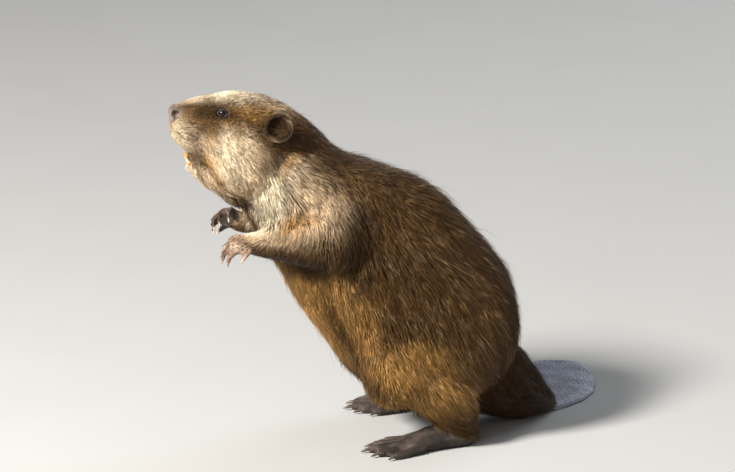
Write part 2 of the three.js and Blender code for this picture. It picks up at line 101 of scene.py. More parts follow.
# How the coat lies: for each place of the body its piece of coat, the point in millimetres with y
# out to the side, the way that the hair runs, the length of a guard hair, the depth of the coat
# over the skin, and the space from one tuft to the next.
LIE = {
    "bridge": ("face", (-285, 8, 453), (0.95, 0.05, 0.1), 4.5, 0.9, 1.15),
    "muzzle": ("face", (-272, 32, 442), (0.93, 0.15, -0.1), 5, 1.1, 1.15),
    "lip": ("face", (-289, 22, 408), (0.6, 0.3, -0.6), 5, 1, 1.15),
    "lip_corner": ("face", (-264, 38, 392), (0.72, 0.15, -0.68), 9, 2, 1.25),
    "chin": ("face", (-277, 8, 366), (0.45, 0.1, -0.88), 13, 3.2, 1.3),
    "brow": ("face", (-240, 16, 464), (0.97, 0.05, 0.05), 9, 2.2, 1.3),
    "eye": ("face", (-240, 38, 443), (0.93, 0.15, -0.25), 5, 1, 1.15),
    "under_eye": ("face", (-243, 44, 418), (0.75, 0.12, -0.63), 10, 2.5, 1.25),
    "temple": ("head", (-208, 52, 440), (0.92, 0.08, -0.32), 13, 4, 1.5),
    "crown": ("head", (-198, 12, 466), (0.98, 0, -0.1), 16, 7, 1.5),
    "jaw": ("head", (-254, 26, 350), (0.5, 0.1, -0.86), 21, 6, 1.6),
    "cheek": ("head", (-226, 54, 388), (0.6, 0.1, -0.77), 21, 6, 1.6),
    "jowl": ("head", (-204, 62, 352), (0.5, 0.08, -0.86), 27, 8.5, 1.75),
    "ear_front": ("head", (-192, 60, 422), (0.8, 0.15, -0.55), 12, 4, 1.5),
    "behind_ear": ("neck", (-145, 62, 408), (0.78, 0.05, -0.6), 24, 8, 1.8),
    "nape": ("neck", (-140, 14, 442), (0.88, 0.03, -0.45), 25, 8, 1.8),
    "neck": ("neck", (-150, 76, 365), (0.68, 0.05, -0.72), 27, 9, 1.9),
    "throat": ("neck", (-228, 10, 320), (0.5, 0.12, -0.85), 24, 8, 1.8),
    "gullet": ("neck", (-200, 42, 305), (0.5, 0.1, -0.85), 25, 9, 1.8),
    "breast": ("chest", (-178, 58, 325), (0.25, 0.15, -0.95), 28, 9, 1.9),
    "bib": ("chest", (-172, 12, 245), (0.12, 0.1, -0.99), 28, 10, 2),
    "shoulder": ("chest", (-90, 88, 335), (0.5, 0.05, -0.85), 31, 11, 2),
    "side": ("chest", (-75, 98, 250), (0.42, 0.05, -0.9), 33, 12, 2.1),
    "withers": ("back", (-60, 18, 370), (0.86, 0.02, -0.5), 31, 11, 2.05),
    "back": ("back", (30, 25, 336), (0.78, 0.02, -0.62), 35, 12, 2.15),
    "loin": ("back", (100, 30, 270), (0.62, 0.02, -0.78), 36, 12, 2.15),
    "ribs": ("flank", (0, 105, 255), (0.5, 0.03, -0.86), 35, 12, 2.1),
    "flank": ("flank", (-10, 112, 180), (0.42, 0.03, -0.9), 36, 12, 2.1),
    "hip": ("flank", (90, 100, 190), (0.42, 0.02, -0.9), 36, 12, 2.1),
    "rump": ("rump", (150, 25, 165), (0.3, 0.03, -0.95), 36, 12, 2.15),
    "seat": ("rump", (120, 85, 110), (0.45, 0.03, -0.88), 33, 11, 2.1),
    "belly": ("belly", (-125, 18, 165), (0.2, 0.15, -0.96), 31, 10, 2.05),
    "groin": ("belly", (-75, 30, 75), (0.4, 0.2, -0.9), 27, 9, 2.1),
    "belly_side": ("belly", (-90, 88, 150), (0.4, 0.05, -0.9), 33, 11, 2.05),
    "thigh": ("thigh", (50, 122, 125), (0.42, 0.02, -0.9), 33, 12, 2.05),
    "knee": ("thigh", (-32, 112, 92), (0.5, 0.03, -0.85), 27, 9, 1.95),
    "shank": ("thigh", (50, 98, 38), (0.7, 0.05, -0.7), 15, 5, 1.75),
    "tail_root": ("tail", (140, 25, 75), (0.85, 0.1, -0.5), 26, 8, 1.95),
    "tail_end": ("tail", (200, 50, 25), (0.85, 0.35, -0.25), 15, 3, 1.7),
}
# The same for the arm, whose hair runs down to the wrist.
ARM_LIE = {
    "armpit": ("arm", (-75, 70, 310), (0.4, 0.05, -0.9), 30, 11, 2),
    "upper_arm": ("arm", (-90, 95, 290), (0.25, 0.05, -0.96), 26, 10, 1.9),
    "elbow": ("arm", (-108, 100, 262), (0.0, 0.05, -1.0), 20, 8, 1.75),
    "forearm_top": ("arm", (-155, 74, 290), (-0.75, -0.1, -0.6), 11, 4.5, 1.4),
    "forearm_mid": ("arm", (-150, 96, 272), (-0.55, 0.0, -0.83), 11, 5, 1.4),
    "forearm_under": ("arm", (-150, 76, 252), (-0.5, -0.1, -0.83), 14, 5.5, 1.5),
    "wrist": ("arm", (-198, 52, 275), (-0.85, -0.25, -0.45), 6.5, 1.5, 1.25),
}
LIE_REACH = 26.0  # how far a place's own lie holds before the next one's takes over, in millimetres

# The markings, together with painted light and shade: soft patches, each with its centre and half
# sizes in millimetres and its strength.
MARKS = {
    "pale": [
        # the crown: pale hair, partly painted sunlight on the top of the head
        ((-212, 0, 482), (88, 62, 33), 1.0),
        ((-282, 0, 458), (26, 14, 12), 0.8),
        ((-240, 56, 388), (46, 32, 42), 1.0),
        ((-216, 62, 358), (34, 26, 34), 0.9),
        ((-262, 10, 350), (46, 38, 38), 0.95),
        ((-288, 14, 412), (20, 30, 30), 0.7),
        # painted sunlight on the top of the forearm
        ((-185, 66, 288), (52, 36, 12), 0.75),
        # the shoulder: pale hair, partly painted sunlight
        ((-138, 88, 328), (46, 46, 42), 0.9),
        ((-152, 78, 372), (22, 22, 34), 0.95),
        # painted highlight on the neck below the ear
        ((-148, 80, 388), (28, 26, 12), 0.95),
        # painted sunlight on the rear of the crown
        ((-172, 30, 462), (44, 44, 24), 0.7),
        ((-264, 36, 403), (14, 16, 16), 0.8),
    ],
    "cream": [
        ((-284, 6, 362), (15, 18, 14), 0.7),
        # the breast patch: pale hair, partly painted sunlight
        ((-190, 56, 330), (27, 32, 38), 1.0),
        ((-242, 56, 392), (28, 24, 30), 0.4),
        ((-292, 10, 408), (12, 24, 24), 0.3),
        # painted highlight beside the neck fold
        ((-174, 74, 372), (16, 18, 24), 0.6),
        ((-150, 78, 388), (16, 20, 16), 0.6),
        # painted sunlight on the top of the head
        ((-218, 0, 484), (84, 56, 30), 1.0),
    ],
    "rust": [
        ((-222, 46, 441), (48, 24, 12), 0.7),
        ((-268, 34, 440), (22, 20, 12), 0.6),
        ((-258, 42, 412), (8, 14, 22), 0.5),
        ((-260, 36, 380), (15, 18, 13), 0.85),
        ((-250, 36, 366), (12, 18, 12), 0.6),
        ((-164, 76, 314), (30, 28, 14), 0.9),
        ((-135, 40, 180), (60, 90, 90), 0.95),
        ((-100, 80, 150), (52, 60, 90), 0.8),
        ((-20, 118, 95), (80, 52, 60), 0.65),
        # painted highlight on the top and front of the thigh
        ((-2, 116, 148), (30, 30, 20), 0.8),
        ((-38, 112, 124), (24, 30, 28), 0.9),
        # painted light on the belly in the arm's shadow
        ((-112, 98, 240), (26, 24, 16), 0.95),
        ((50, 110, 60), (50, 52, 50), 0.5),
    ],
    "dark": [
        ((-260, 36, 443), (29, 24, 12), 0.9),
        ((-240, 42, 442), (19, 18, 10), 0.9),
        ((-262, 40, 428), (16, 18, 12), 0.4),
        ((-196, 62, 424), (14, 20, 18), 0.5),
        ((-142, 58, 417), (34, 28, 15), 0.75),
        ((-116, 62, 408), (34, 24, 12), 0.6),
        # painted shadow under the jaw, between the throat and the chest
        ((-222, 36, 330), (24, 44, 8), 0.9),
        # painted shade on the underside of the arm
        ((-158, 88, 257), (72, 56, 20), 1.0),
        ((-122, 98, 284), (26, 30, 18), 0.5),
        # painted shade behind the shoulder
        ((-80, 106, 300), (28, 36, 66), 0.85),
        ((-20, 30, 360), (110, 60, 26), 0.25),
        # rump, tail root, shanks and under the body: partly dark hair, partly painted shade of the
        # underside and rear
        ((150, 0, 150), (84, 112, 134), 0.95),
        ((150, 0, 66), (104, 96, 68), 1.0),
        ((60, 95, 30), (80, 60, 36), 0.75),
        ((-50, 40, 50), (60, 60, 34), 0.8),
    ],
}
MARK_NAMES = tuple(MARKS)

# Folds pressed into the skin, as lines seen from the side: the points x and z of the line, how deep
# and how wide, in millimetres.
FOLDS = {
    "flank": (((-112, 205), (-94, 172), (-79, 145), (-60, 114), (-49, 90)), 8, 9),
    "neck": (((-158, 396), (-167, 388), (-184, 363), (-202, 344), (-212, 334)), 5.5, 5.5),
    "throat": (((-244, 338), (-223, 332), (-204, 326)), 5, 7),
    "armpit": (((-198, 290), (-180, 303), (-162, 312)), 3, 6),
    "shoulder": (((-80, 335), (-70, 297), (-76, 258)), 5, 20),
    "mouth": (((-284, 387), (-276, 385), (-266, 378), (-252, 366), (-238, 351)), 2.5, 3.2),
}
FOLD_SHADE = {"flank": 0.8, "throat": 0.5, "mouth": 0.5}  # painted shade: how dark the coat is painted along a fold, where the crease's shadow falls
FOLD_GLOW = {"neck": 0.75}  # and how rusty
NOSE_PAD = ((-296, 0, 437), (19, 23, 16))  # bare skin round the nostrils: centre and half sizes
NOSTRIL = ((-299, 15, 438), 5.0)  # its centre and radius
NOSTRIL_DEPTH, NOSTRIL_RIM = 7, 0.5
MOUTH_LINING = ((-261, 0, 379), (19, 27, 13))  # closes the mouth behind the incisors
WHISKER_BED = ((-284, 26, 418), (17, 15, 17))
SPECKLES, SPECKLE_MARK = 0.45, 0.85  # share of dark tufts in the bed, and how dark they are
WHISKER_ROWS, WHISKER_START = 4, (-290, 40, 422)  # where the foremost one of the top row stands
HAND_HAIR = (4.5, 0.7)  # length and depth of the hair on the hands
EAR_HAIR = (6.5, 1.4)  # and on the ears
EAR_RIM = (0.66, 0.86)  # where the pale rim of the ear starts and is full, as shares of its size
EAR_REAR = (0.75, -0.66)  # the way, in x and z, of the part of the rim that is pale
NOSE_EDGE = 0.85  # how far the bare nose reaches, as a share of its oval
NOSE_HAIR = (0.55, 0.45)  # length of the hair beside it, as a share, and what is added further off
BARE_EDGE = 1.6  # how sharply the coat ends at bare skin

RIGHT_HAND_SHADOW = 0.3  # how much darker the right hand is painted than the left, as painted shadow of the head and body
CLAW_ROOT = 3.0  # how far a claw reaches back into its finger or toe, in millimetres

COAT_SLOTS = {
    "face": "pale_coat",
    "head": "pale_coat",
    "neck": "coat",
    "chest": "coat",
    "arm": "coat",
    "back": "coat",
    "flank_left": "coat",
    "flank_right": "coat",
    "belly": "coat",
    "thigh_left": "coat",
    "thigh_right": "coat",
    "rump": "dark_coat",
    "tail": "dark_coat",
}
SPLIT_BY_SIDE = ("flank", "thigh")


# ---- meshes ----------------------------------------------------------------------------------


def link(name, mesh):
    made = bpy.data.objects.new(name, mesh)
    bpy.context.scene.collection.objects.link(made)
    return made


def oval(points, shape):
    """How far each point is from the middle of an oval on both sides, where 1 is its edge."""
    places = own_mm(points)
    places[:, 1] = np.abs(places[:, 1])
    return np.linalg.norm((places - np.array(shape[0])) / np.array(shape[1]), axis=1)


def from_line(points, line):
    """How far in millimetres each point is from a line, as seen from the side."""
    places = own_mm(points)[:, [0, 2]]
    nearest = np.full(len(points), np.inf)
    for a, b in zip(np.array(line, float), np.array(line[1:], float)):
        along = np.clip((places - a) @ (b - a) / ((b - a) @ (b - a)), 0, 1)
        nearest = np.minimum(nearest, np.linalg.norm(places - a - along[:, None] * (b - a), axis=1))
    return nearest


def mesh_of(name, points, faces):
    """A smooth mesh of triangles or of quads, from arrays."""
    points, faces = np.asarray(points, np.float32), np.asarray(faces, np.int32)
    mesh = bpy.data.meshes.new(name)
    mesh.vertices.add(len(points))
    mesh.vertices.foreach_set("co", points.ravel())
    mesh.loops.add(faces.size)
    mesh.loops.foreach_set("vertex_index", faces.ravel())
    mesh.polygons.add(len(faces))
    starts = np.arange(0, faces.size, faces.shape[1], dtype=np.int32)
    mesh.polygons.foreach_set("loop_start", starts)
    mesh.polygons.foreach_set("use_smooth", np.ones(len(faces), bool))
    mesh.update(calc_edges=True)
    mesh.validate()
    return mesh


def read(collection, prop, width, kind=np.float64):
    found = np.empty(len(collection) * width, kind)
    collection.foreach_get(prop, found)
    return found.reshape(-1, width) if width > 1 else found


def points_of(mesh):
    return read(mesh.vertices, "co", 3)


def set_points(mesh, points):
    mesh.vertices.foreach_set("co", np.asarray(points, np.float32).ravel())
    mesh.update()


def add_vectors(mesh, name, values):
    made = mesh.attributes.new(name, "FLOAT_VECTOR", "POINT")
    made.data.foreach_set("vector", np.asarray(values, np.float32).ravel())


def add_values(mesh, name, values):
    made = mesh.attributes.new(name, "FLOAT", "POINT")
    made.data.foreach_set("value", np.asarray(values, np.float32))


def normals_of(mesh):
    return read(mesh.vertex_normals, "vector", 3)


def edges_of(mesh):
    return read(mesh.edges, "vertices", 2, np.int32)


def triangles_of(mesh):
    mesh.calc_loop_triangles()
    return read(mesh.loop_triangles, "vertices", 3, np.int32)


def unit(vectors):
    return vectors / np.maximum(np.linalg.norm(vectors, axis=-1, keepdims=True), 1e-12)


def step(low, high, value):
    """0 below low, 1 above high, and smooth between."""
    t = np.clip((value - low) / (high - low), 0, 1)
    return t * t * (3 - 2 * t)


def evened(values, edges, rounds, share=0.5):
    """Values at the points of a mesh, each drawn to its neighbours' mean in every round."""
    values = np.array(values, float)
    flat = values.reshape(len(values), -1)
    a, b = edges[:, 0], edges[:, 1]
    count = np.maximum(np.bincount(a, minlength=len(flat)) + np.bincount(b, minlength=len(flat)), 1)
    for _ in range(rounds):
        for k in range(flat.shape[1]):
            column = flat[:, k]
            total = np.bincount(a, column[b], len(flat)) + np.bincount(b, column[a], len(flat))
            flat[:, k] = column + share * (total / count - column)
    return flat.reshape(values.shape)


def applied(source, name, kind, group=None, **settings):
    """The mesh that one modifier makes of source, on the points of a group if one is given."""
    carrier = link(name, source)
    if group is not None:
        carrier.vertex_groups.new(name="chosen").add(group, 1.0, "REPLACE")
        settings["vertex_group"] = "chosen"
    modifier = carrier.modifiers.new(kind, kind)
    for key, value in settings.items():
        setattr(modifier, key, value)
    bpy.context.view_layer.update()
    graph = bpy.context.evaluated_depsgraph_get()
    made = bpy.data.meshes.new_from_object(carrier.evaluated_get(graph))
    bpy.data.objects.remove(carrier)
    made.name = name
    return made


def in_voxels(source, name, size):
    return applied(source, name, "REMESH", mode="VOXEL", voxel_size=size)


def ended(work, name):
    """A bmesh as a mesh."""
    mesh = bpy.data.meshes.new(name)
    work.to_mesh(mesh)
    work.free()
    return mesh


def merged(name, meshes):
    """One mesh of several, which it takes the place of."""
    work = bmesh.new()
    for mesh in meshes:
        work.from_mesh(mesh)
        bpy.data.meshes.remove(mesh)
    return ended(work, name)


def grown(nodes, by):
    """The CAD nodes as one mesh, each pushed out by a hair so that neighbours meet."""
    parts = []
    for node in nodes:
        work = bmesh.new()
        work.from_mesh(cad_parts[node].data)
        bmesh.ops.remove_doubles(work, verts=work.verts, dist=WELD)
        work.normal_update()
        for vertex in work.verts:
            vertex.co += vertex.normal * by
        parts.append(ended(work, "part"))
    return merged("grown", parts)


def largest_island(mesh):
    """The mesh without its smaller loose islands."""
    edges, label = edges_of(mesh), np.arange(len(mesh.vertices))
    while True:
        low = np.minimum(label[edges[:, 0]], label[edges[:, 1]])
        new = label.copy()
        np.minimum.at(new, edges[:, 0], low)
        np.minimum.at(new, edges[:, 1], low)
        new = new[new]
        if (new == label).all():
            break
        label = new
    kept = label == np.bincount(label).argmax()
    work = bmesh.new()
    work.from_mesh(mesh)
    gone = [v for v, keep in zip(work.verts, kept) if not keep]
    bmesh.ops.delete(work, geom=gone, context="VERTS")
    work.to_mesh(mesh)
    work.free()
    return mesh


# ---- where a point belongs -------------------------------------------------------------------


def node_finder():
    """A function from points to the index in FLESH of the nearest node."""
    corners, faces, owner = [], [], []
    start = 0
    for index, node in enumerate(FLESH):
        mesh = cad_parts[node].data
        own = triangles_of(mesh)
        corners.append(points_of(mesh))
        faces.append(own + start)
        owner.append(np.full(len(own), index))
        start += len(mesh.vertices)
    tree = BVHTree.FromPolygons(np.concatenate(corners).tolist(), np.concatenate(faces).tolist())
    owner = np.concatenate(owner)

    def find(points):
        return owner[[tree.find_nearest(p)[2] for p in points.tolist()]]

    return find


def belongs(owners, names):
    return np.isin(owners, [FLESH.index(name) for name in names])


def lie_of(points, on_arm):
    """The coat's flow, length, depth and spacing, and the name of its piece, at each point."""
    places = own_mm(points)
    outward = np.sign(places[:, 1])
    places = np.stack([places[:, 0], np.abs(places[:, 1]), places[:, 2]], 1)
    result, pieces = np.zeros((len(points), 6)), np.empty(len(points), object)
    for table, chosen in ((LIE, ~on_arm), (ARM_LIE, on_arm)):
        rows = list(table.values())
        centres = np.array([row[1] for row in rows], float)
        values = np.array([(*row[2], *row[3:]) for row in rows], float)
        away = ((places[chosen, None, :] - centres[None]) ** 2).sum(2)
        weight = 1 / (away + LIE_REACH**2) ** 2.5
        result[chosen] = weight @ values / weight.sum(1, keepdims=True)
        pieces[chosen] = np.array([row[0] for row in rows], object)[away.argmin(1)]
    result[:, 1] *= outward
    for stem in SPLIT_BY_SIDE:
        for side, sign in SIDES.items():
            pieces[(pieces == stem) & (outward == sign)] = f"{stem}_{side}"
    return result, pieces


def marks_at(points):
    """How strong each marking, painted light and painted shade is at each point, one column for
    each.
    """
    places = own_mm(points)
    places = np.stack([places[:, 0], np.abs(places[:, 1]), places[:, 2]], 1)
    ripple = 0.1 * np.sin(places[:, 0] / 5.3 + places[:, 2] / 8.1) * np.sin(places[:, 1] / 6.7)
    columns = []
    for name in MARK_NAMES:
        strongest = np.zeros(len(points))
        for centre, radii, strength in MARKS[name]:
            away = np.linalg.norm((places - np.array(centre)) / np.array(radii), axis=1) + ripple
            strongest = np.maximum(strongest, strength * (1 - step(0.55, 1.4, away)))
        columns.append(strongest)
    # painted shade along the folds, and rust hair along the neck fold
    for column, folds in (("dark", FOLD_SHADE), ("rust", FOLD_GLOW)):
        k = MARK_NAMES.index(column)
        for name, strength in folds.items():
            line, _, width = FOLDS[name]
            near = np.exp(-((from_line(points, line) / width) ** 2))
            columns[k] = np.maximum(columns[k], strength * near)
    return np.stack(columns, 1)


# ---- materials -------------------------------------------------------------------------------


def put(tree, kind, inputs=None, **settings):
    """A node with its settings, and its inputs given as values or as other nodes' outputs."""
    made = tree.nodes.new(kind)
    for key, value in settings.items():
        setattr(made, key, value)
    for key, value in (inputs or {}).items():
        socket = made.inputs[key]
        if isinstance(value, bpy.types.NodeSocket):
            tree.links.new(value, socket)
        else:
            socket.default_value = value
    return made


def sums(tree, operation, *values, clamp=False):
    return put(
        tree, "ShaderNodeMath", dict(enumerate(values)), operation=operation, use_clamp=clamp
    ).outputs[0]


def blended(tree, share, first, second):
    """The first colour where share is 0, and the second where it is 1."""
    return put(tree, "ShaderNodeMix", {0: share, 6: first, 7: second}, data_type="RGBA").outputs[2]


def object_place(tree):
    return put(tree, "ShaderNodeTexCoord").outputs["Object"]


def noise(tree, place, scale, detail=2.0):
    """Soft noise, whose scale is in swirls to the metre."""
    inputs = {"Vector": place, "Scale": scale, "Detail": detail}
    return put(tree, "ShaderNodeTexNoise", inputs).outputs[0]


def attribute(tree, name, output="Fac"):
    return put(tree, "ShaderNodeAttribute", attribute_name=name).outputs[output]


def stretched(tree, place, scale):
    """The place in a texture that is drawn out along one axis."""
    return put(tree, "ShaderNodeMapping", {"Vector": place, "Scale": scale}).outputs[0]


def scaled(tree, colour, by):
    return put(tree, "ShaderNodeVectorMath", {0: colour, "Scale": by}, operation="SCALE").outputs[0]


def shade_of(colour, by):
    """A colour made darker or lighter by a factor, for a socket."""
    return (*(c * by for c in colour), 1.0)


def ramp(tree, value, low, high, to_low=0.0, to_high=1.0, **settings):
    """The value taken from one range to another in a straight line."""
    inputs = {0: value, 1: low, 2: high, 3: to_low, 4: to_high}
    return put(tree, "ShaderNodeMapRange", inputs, **settings).outputs[0]


def spread(tree, *values):
    """The same along a smooth curve."""
    return ramp(tree, *values, interpolation_type="SMOOTHSTEP")


def new_group(name, inputs, outputs):
    tree = bpy.data.node_groups.new(name, "ShaderNodeTree")
    for kind, rows in (("INPUT", inputs), ("OUTPUT", outputs)):
        for label, socket_type, *default in rows:
            socket = tree.interface.new_socket(name=label, in_out=kind, socket_type=socket_type)
            if default:
                socket.default_value = default[0]
    return tree, put(tree, "NodeGroupInput"), put(tree, "NodeGroupOutput")


def coat_colour_group():
    """Mixes the coat's colours by its markings, and shades each hair from root to tip, with painted
    shade at the root and pale tips that are partly painted sheen.
    """
    colours = ("Brown", "Pale", "Cream", "Rust", "Dark")
    tree, given, out = new_group(
        "coat_colour",
        [(f"{name} Hair", "NodeSocketColor") for name in colours]
        + [(f"{name} Mark", "NodeSocketFloat", 0.0) for name in colours[1:]]
        + [("Along", "NodeSocketFloat", 1.0), ("Tone", "NodeSocketFloat", 0.5)],
        [("Colour", "NodeSocketColor")],
    )
    sockets = given.outputs
    place = object_place(tree)
    wide = noise(tree, place, 34.0, 3.0)
    fine = noise(tree, place, 260.0)
    wander = sums(tree, "SUBTRACT", wide, 0.5)
    mixed = sockets["Brown Hair"]
    for name in ("Pale", "Rust", "Cream", "Dark"):
        mark = sockets[f"{name} Mark"]
        unmarked = sums(tree, "SUBTRACT", 1.0, mark)
        edge = sums(tree, "MULTIPLY", sums(tree, "MULTIPLY", mark, unmarked), 2.4)
        share = sums(tree, "MULTIPLY_ADD", wander, edge, mark, clamp=True)
        mixed = blended(tree, share, mixed, sockets[f"{name} Hair"])
    warm = sums(tree, "MULTIPLY", spread(tree, sockets["Tone"], 0.45, 0.0), 0.3)
    mixed = blended(tree, warm, mixed, sockets["Rust Hair"])
    # pale tips on some hairs: partly the hairs' own pale tips, partly painted sheen, less of it on
    # dark hair
    light_tone = spread(tree, sockets["Tone"], 0.72, 1.0)
    tipped = sums(tree, "MULTIPLY", light_tone, spread(tree, sockets["Along"], 0.3, 1.0))
    most = sums(tree, "MULTIPLY_ADD", sockets["Dark Mark"], -0.34, 0.4)
    tipped = sums(tree, "MULTIPLY", tipped, most)
    mixed = blended(tree, tipped, mixed, sockets["Pale Hair"])
    # painted shade deep in the coat at the roots, and painted light on the tips; cream hair is
    # spared most of the root shade, which paints sunlight onto the breast
    root = spread(tree, sockets["Along"], -0.1, 0.8, 0.25, 1.0)
    root = sums(tree, "MAXIMUM", root, sums(tree, "MULTIPLY", sockets["Cream Mark"], 0.7))
    tip = spread(tree, sockets["Along"], 0.55, 1.0, 1.0, 1.3)
    tone = ramp(tree, sockets["Tone"], 0.0, 1.0, 0.55, 1.45)
    patch = ramp(tree, wide, 0.3, 0.7, 0.86, 1.14)
    grain = ramp(tree, fine, 0.3, 0.7, 0.84, 1.16)
    light = root
    for factor in (tip, tone, patch, grain):
        light = sums(tree, "MULTIPLY", light, factor)
    tree.links.new(scaled(tree, mixed, light), out.inputs["Colour"])
    return tree


def hide_grain_group():
    """The cracks and pebbles of bare skin, as a height and as a shade."""
    tree, given, out = new_group(
        "hide_grain",
        [
            ("Vector", "NodeSocketVector"),
            ("Cell Size", "NodeSocketFloat", 1.5),
            ("Fold Size", "NodeSocketFloat", 4.0),
        ],
        [("Height", "NodeSocketFloat"), ("Shade", "NodeSocketFloat"), ("Wear", "NodeSocketFloat")],
    )
    place = given.outputs["Vector"]
    per_cell = sums(tree, "DIVIDE", 1000.0, given.outputs["Cell Size"])
    per_fold = sums(tree, "DIVIDE", 1000.0, given.outputs["Fold Size"])
    bent = noise(tree, place, per_fold, 4.0)
    edge = put(
        tree,
        "ShaderNodeTexVoronoi",
        {"Vector": place, "Scale": per_cell},
        feature="DISTANCE_TO_EDGE",
    ).outputs["Distance"]
    pebble = spread(tree, edge, 0.0, 0.22)
    fold = spread(tree, bent, 0.3, 0.7)
    height = sums(tree, "MULTIPLY_ADD", pebble, 0.45, sums(tree, "MULTIPLY", fold, 0.55))
    tree.links.new(height, out.inputs["Height"])
    shade = sums(tree, "MULTIPLY_ADD", height, 0.55, 0.5)
    tree.links.new(shade, out.inputs["Shade"])
    wear = noise(tree, place, 45.0, 5.0)
    tree.links.new(spread(tree, wear, 0.35, 0.65), out.inputs["Wear"])
    return tree


GROUPS = {}


def group_node(tree, name, inputs):
    makers = {"coat_colour": coat_colour_group, "hide_grain": hide_grain_group}
    if name not in GROUPS:
        GROUPS[name] = makers[name]()
    return put(tree, "ShaderNodeGroup", inputs, node_tree=GROUPS[name]).outputs


def new_material(name, **sockets):
    """A material with only its Principled shader, whose plain numbers are set here."""
    material = bpy.data.materials.new(name)
    material.use_nodes = True
    tree = material.node_tree
    shader = tree.nodes["Principled BSDF"]
    for key, value in sockets.items():
        shader.inputs[key.replace("_", " ")].default_value = value
    return material, tree, shader


def bump(tree, shader, height, strength, depth):
    node = put(tree, "ShaderNodeBump", {"Height": height, "Strength": strength, "Distance": depth})
    tree.links.new(node.outputs[0], shader.inputs["Normal"])


def rgba(colour):
    return (*colour, 1.0)


def coat_colours(tree, along=None, tone=None):
    """The coat's colour at each point, from the attributes that every hairy mesh carries."""
    given = bpy.context.scene.beaver_coat
    mark = put(tree, "ShaderNodeSeparateXYZ", {0: attribute(tree, "marks", "Vector")}).outputs
    hair = put(tree, "ShaderNodeSeparateXYZ", {0: attribute(tree, "strand", "Vector")}).outputs
    inputs = {
        "Pale Mark": mark[0],
        "Cream Mark": mark[1],
        "Rust Mark": mark[2],
        "Dark Mark": hair[2],
        "Along": hair[0] if along is None else along,
        "Tone": hair[1] if tone is None else tone,
    }
    for name in ("brown", "pale", "cream", "rust", "dark"):
        inputs[f"{name.title()} Hair"] = rgba(getattr(given, name))
    return group_node(tree, "coat_colour", inputs)["Colour"]


def coat_material():
    material, tree, shader = new_material("beaver_coat", Roughness=0.44, Specular_IOR_Level=0.32)
    shader.inputs["Specular Tint"].default_value = (0.95, 0.8, 0.6, 1)
    tree.links.new(coat_colours(tree), shader.inputs["Base Color"])
    return material


def under_coat_material():
    """The hide that shows between the hairs, in the coat's own markings."""
    material, tree, shader = new_material("under_coat", Roughness=0.8, Specular_IOR_Level=0.2)
    # along 0.25 gives the hide the coat's painted root shade
    tree.links.new(coat_colours(tree, along=0.25, tone=0.5), shader.inputs["Base Color"])
    place = object_place(tree)
    fuzz = noise(tree, place, 700.0, 3.0)
    bump(tree, shader, fuzz, 0.6, 0.0015)
    return material


def hide_material(name, light, dark, cell, fold, depth, roughness):
    """Bare skin: cells and folds, darker in the creases as painted shade and paler on the tops,
    with worn patches.
    """
    material, tree, shader = new_material(name, Specular_IOR_Level=0.4)
    sizes = {"Vector": object_place(tree), "Cell Size": cell, "Fold Size": fold}
    grain = group_node(tree, "hide_grain", sizes)
    base = blended(tree, grain["Wear"], rgba(dark), rgba(light))
    # painted shade: the colour darkened in the creases
    creased = scaled(tree, base, grain["Shade"])
    tree.links.new(creased, shader.inputs["Base Color"])
    rough = ramp(tree, grain["Height"], 0.0, 1.0, roughness + 0.18, roughness)
    tree.links.new(rough, shader.inputs["Roughness"])
    bump(tree, shader, grain["Height"], 0.8, depth)
    return material, tree, shader, creased


def darkened_at(tree, shader, base, spots, colour):
    """Takes the base colour to another one inside soft balls, given as centre and radius."""
    place = object_place(tree)
    for centre, radius in spots:
        away = put(tree, "ShaderNodeVectorMath", {0: place, 1: centre}, operation="DISTANCE")
        share = spread(tree, away.outputs["Value"], radius * 1.25, radius * 0.8)
        base = blended(tree, share, base, rgba(colour))
    tree.links.new(base, shader.inputs["Base Color"])


# ---- skin ------------------------------------------------------------------------------------


SKIN = {}
# The eyelid's section from its margin outwards and back under: degrees past the edge of the
# opening, and millimetres over the eyeball.
LID_PROFILE = (
    (-4, -0.3),
    (-1, -0.05),
    (1.5, 0.2),
    (4, 0.4),
    (9, 0.45),
    (17, 0.2),
    (27, -0.5),
    (40, -1.6),
    (34, -2.2),
    (14, -1.6),
)
LID_SIDES = 56
LID_REACH = math.radians(118)
LID_UP = Vector((0.1, 0, 1))
UPPER_LID = 0.35  # how much fuller the upper lid is than the corners
CORNEA_RISE = 0.05  # as a share of the eyeball's radius
EYE_FIT = 0.985  # the eyeball's radius as a share of its solid's
EYE_REAR = (0.86, 0, -0.5)  # the eyeball is pale bluish grey on this side


def gaze_of(side):
    x, y, z = GAZE
    return Vector((x, SIDES[side] * y, z)).normalized()


def eye_radius(side):
    low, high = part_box(f"eye_{side}")
    return (high - low).x / 2


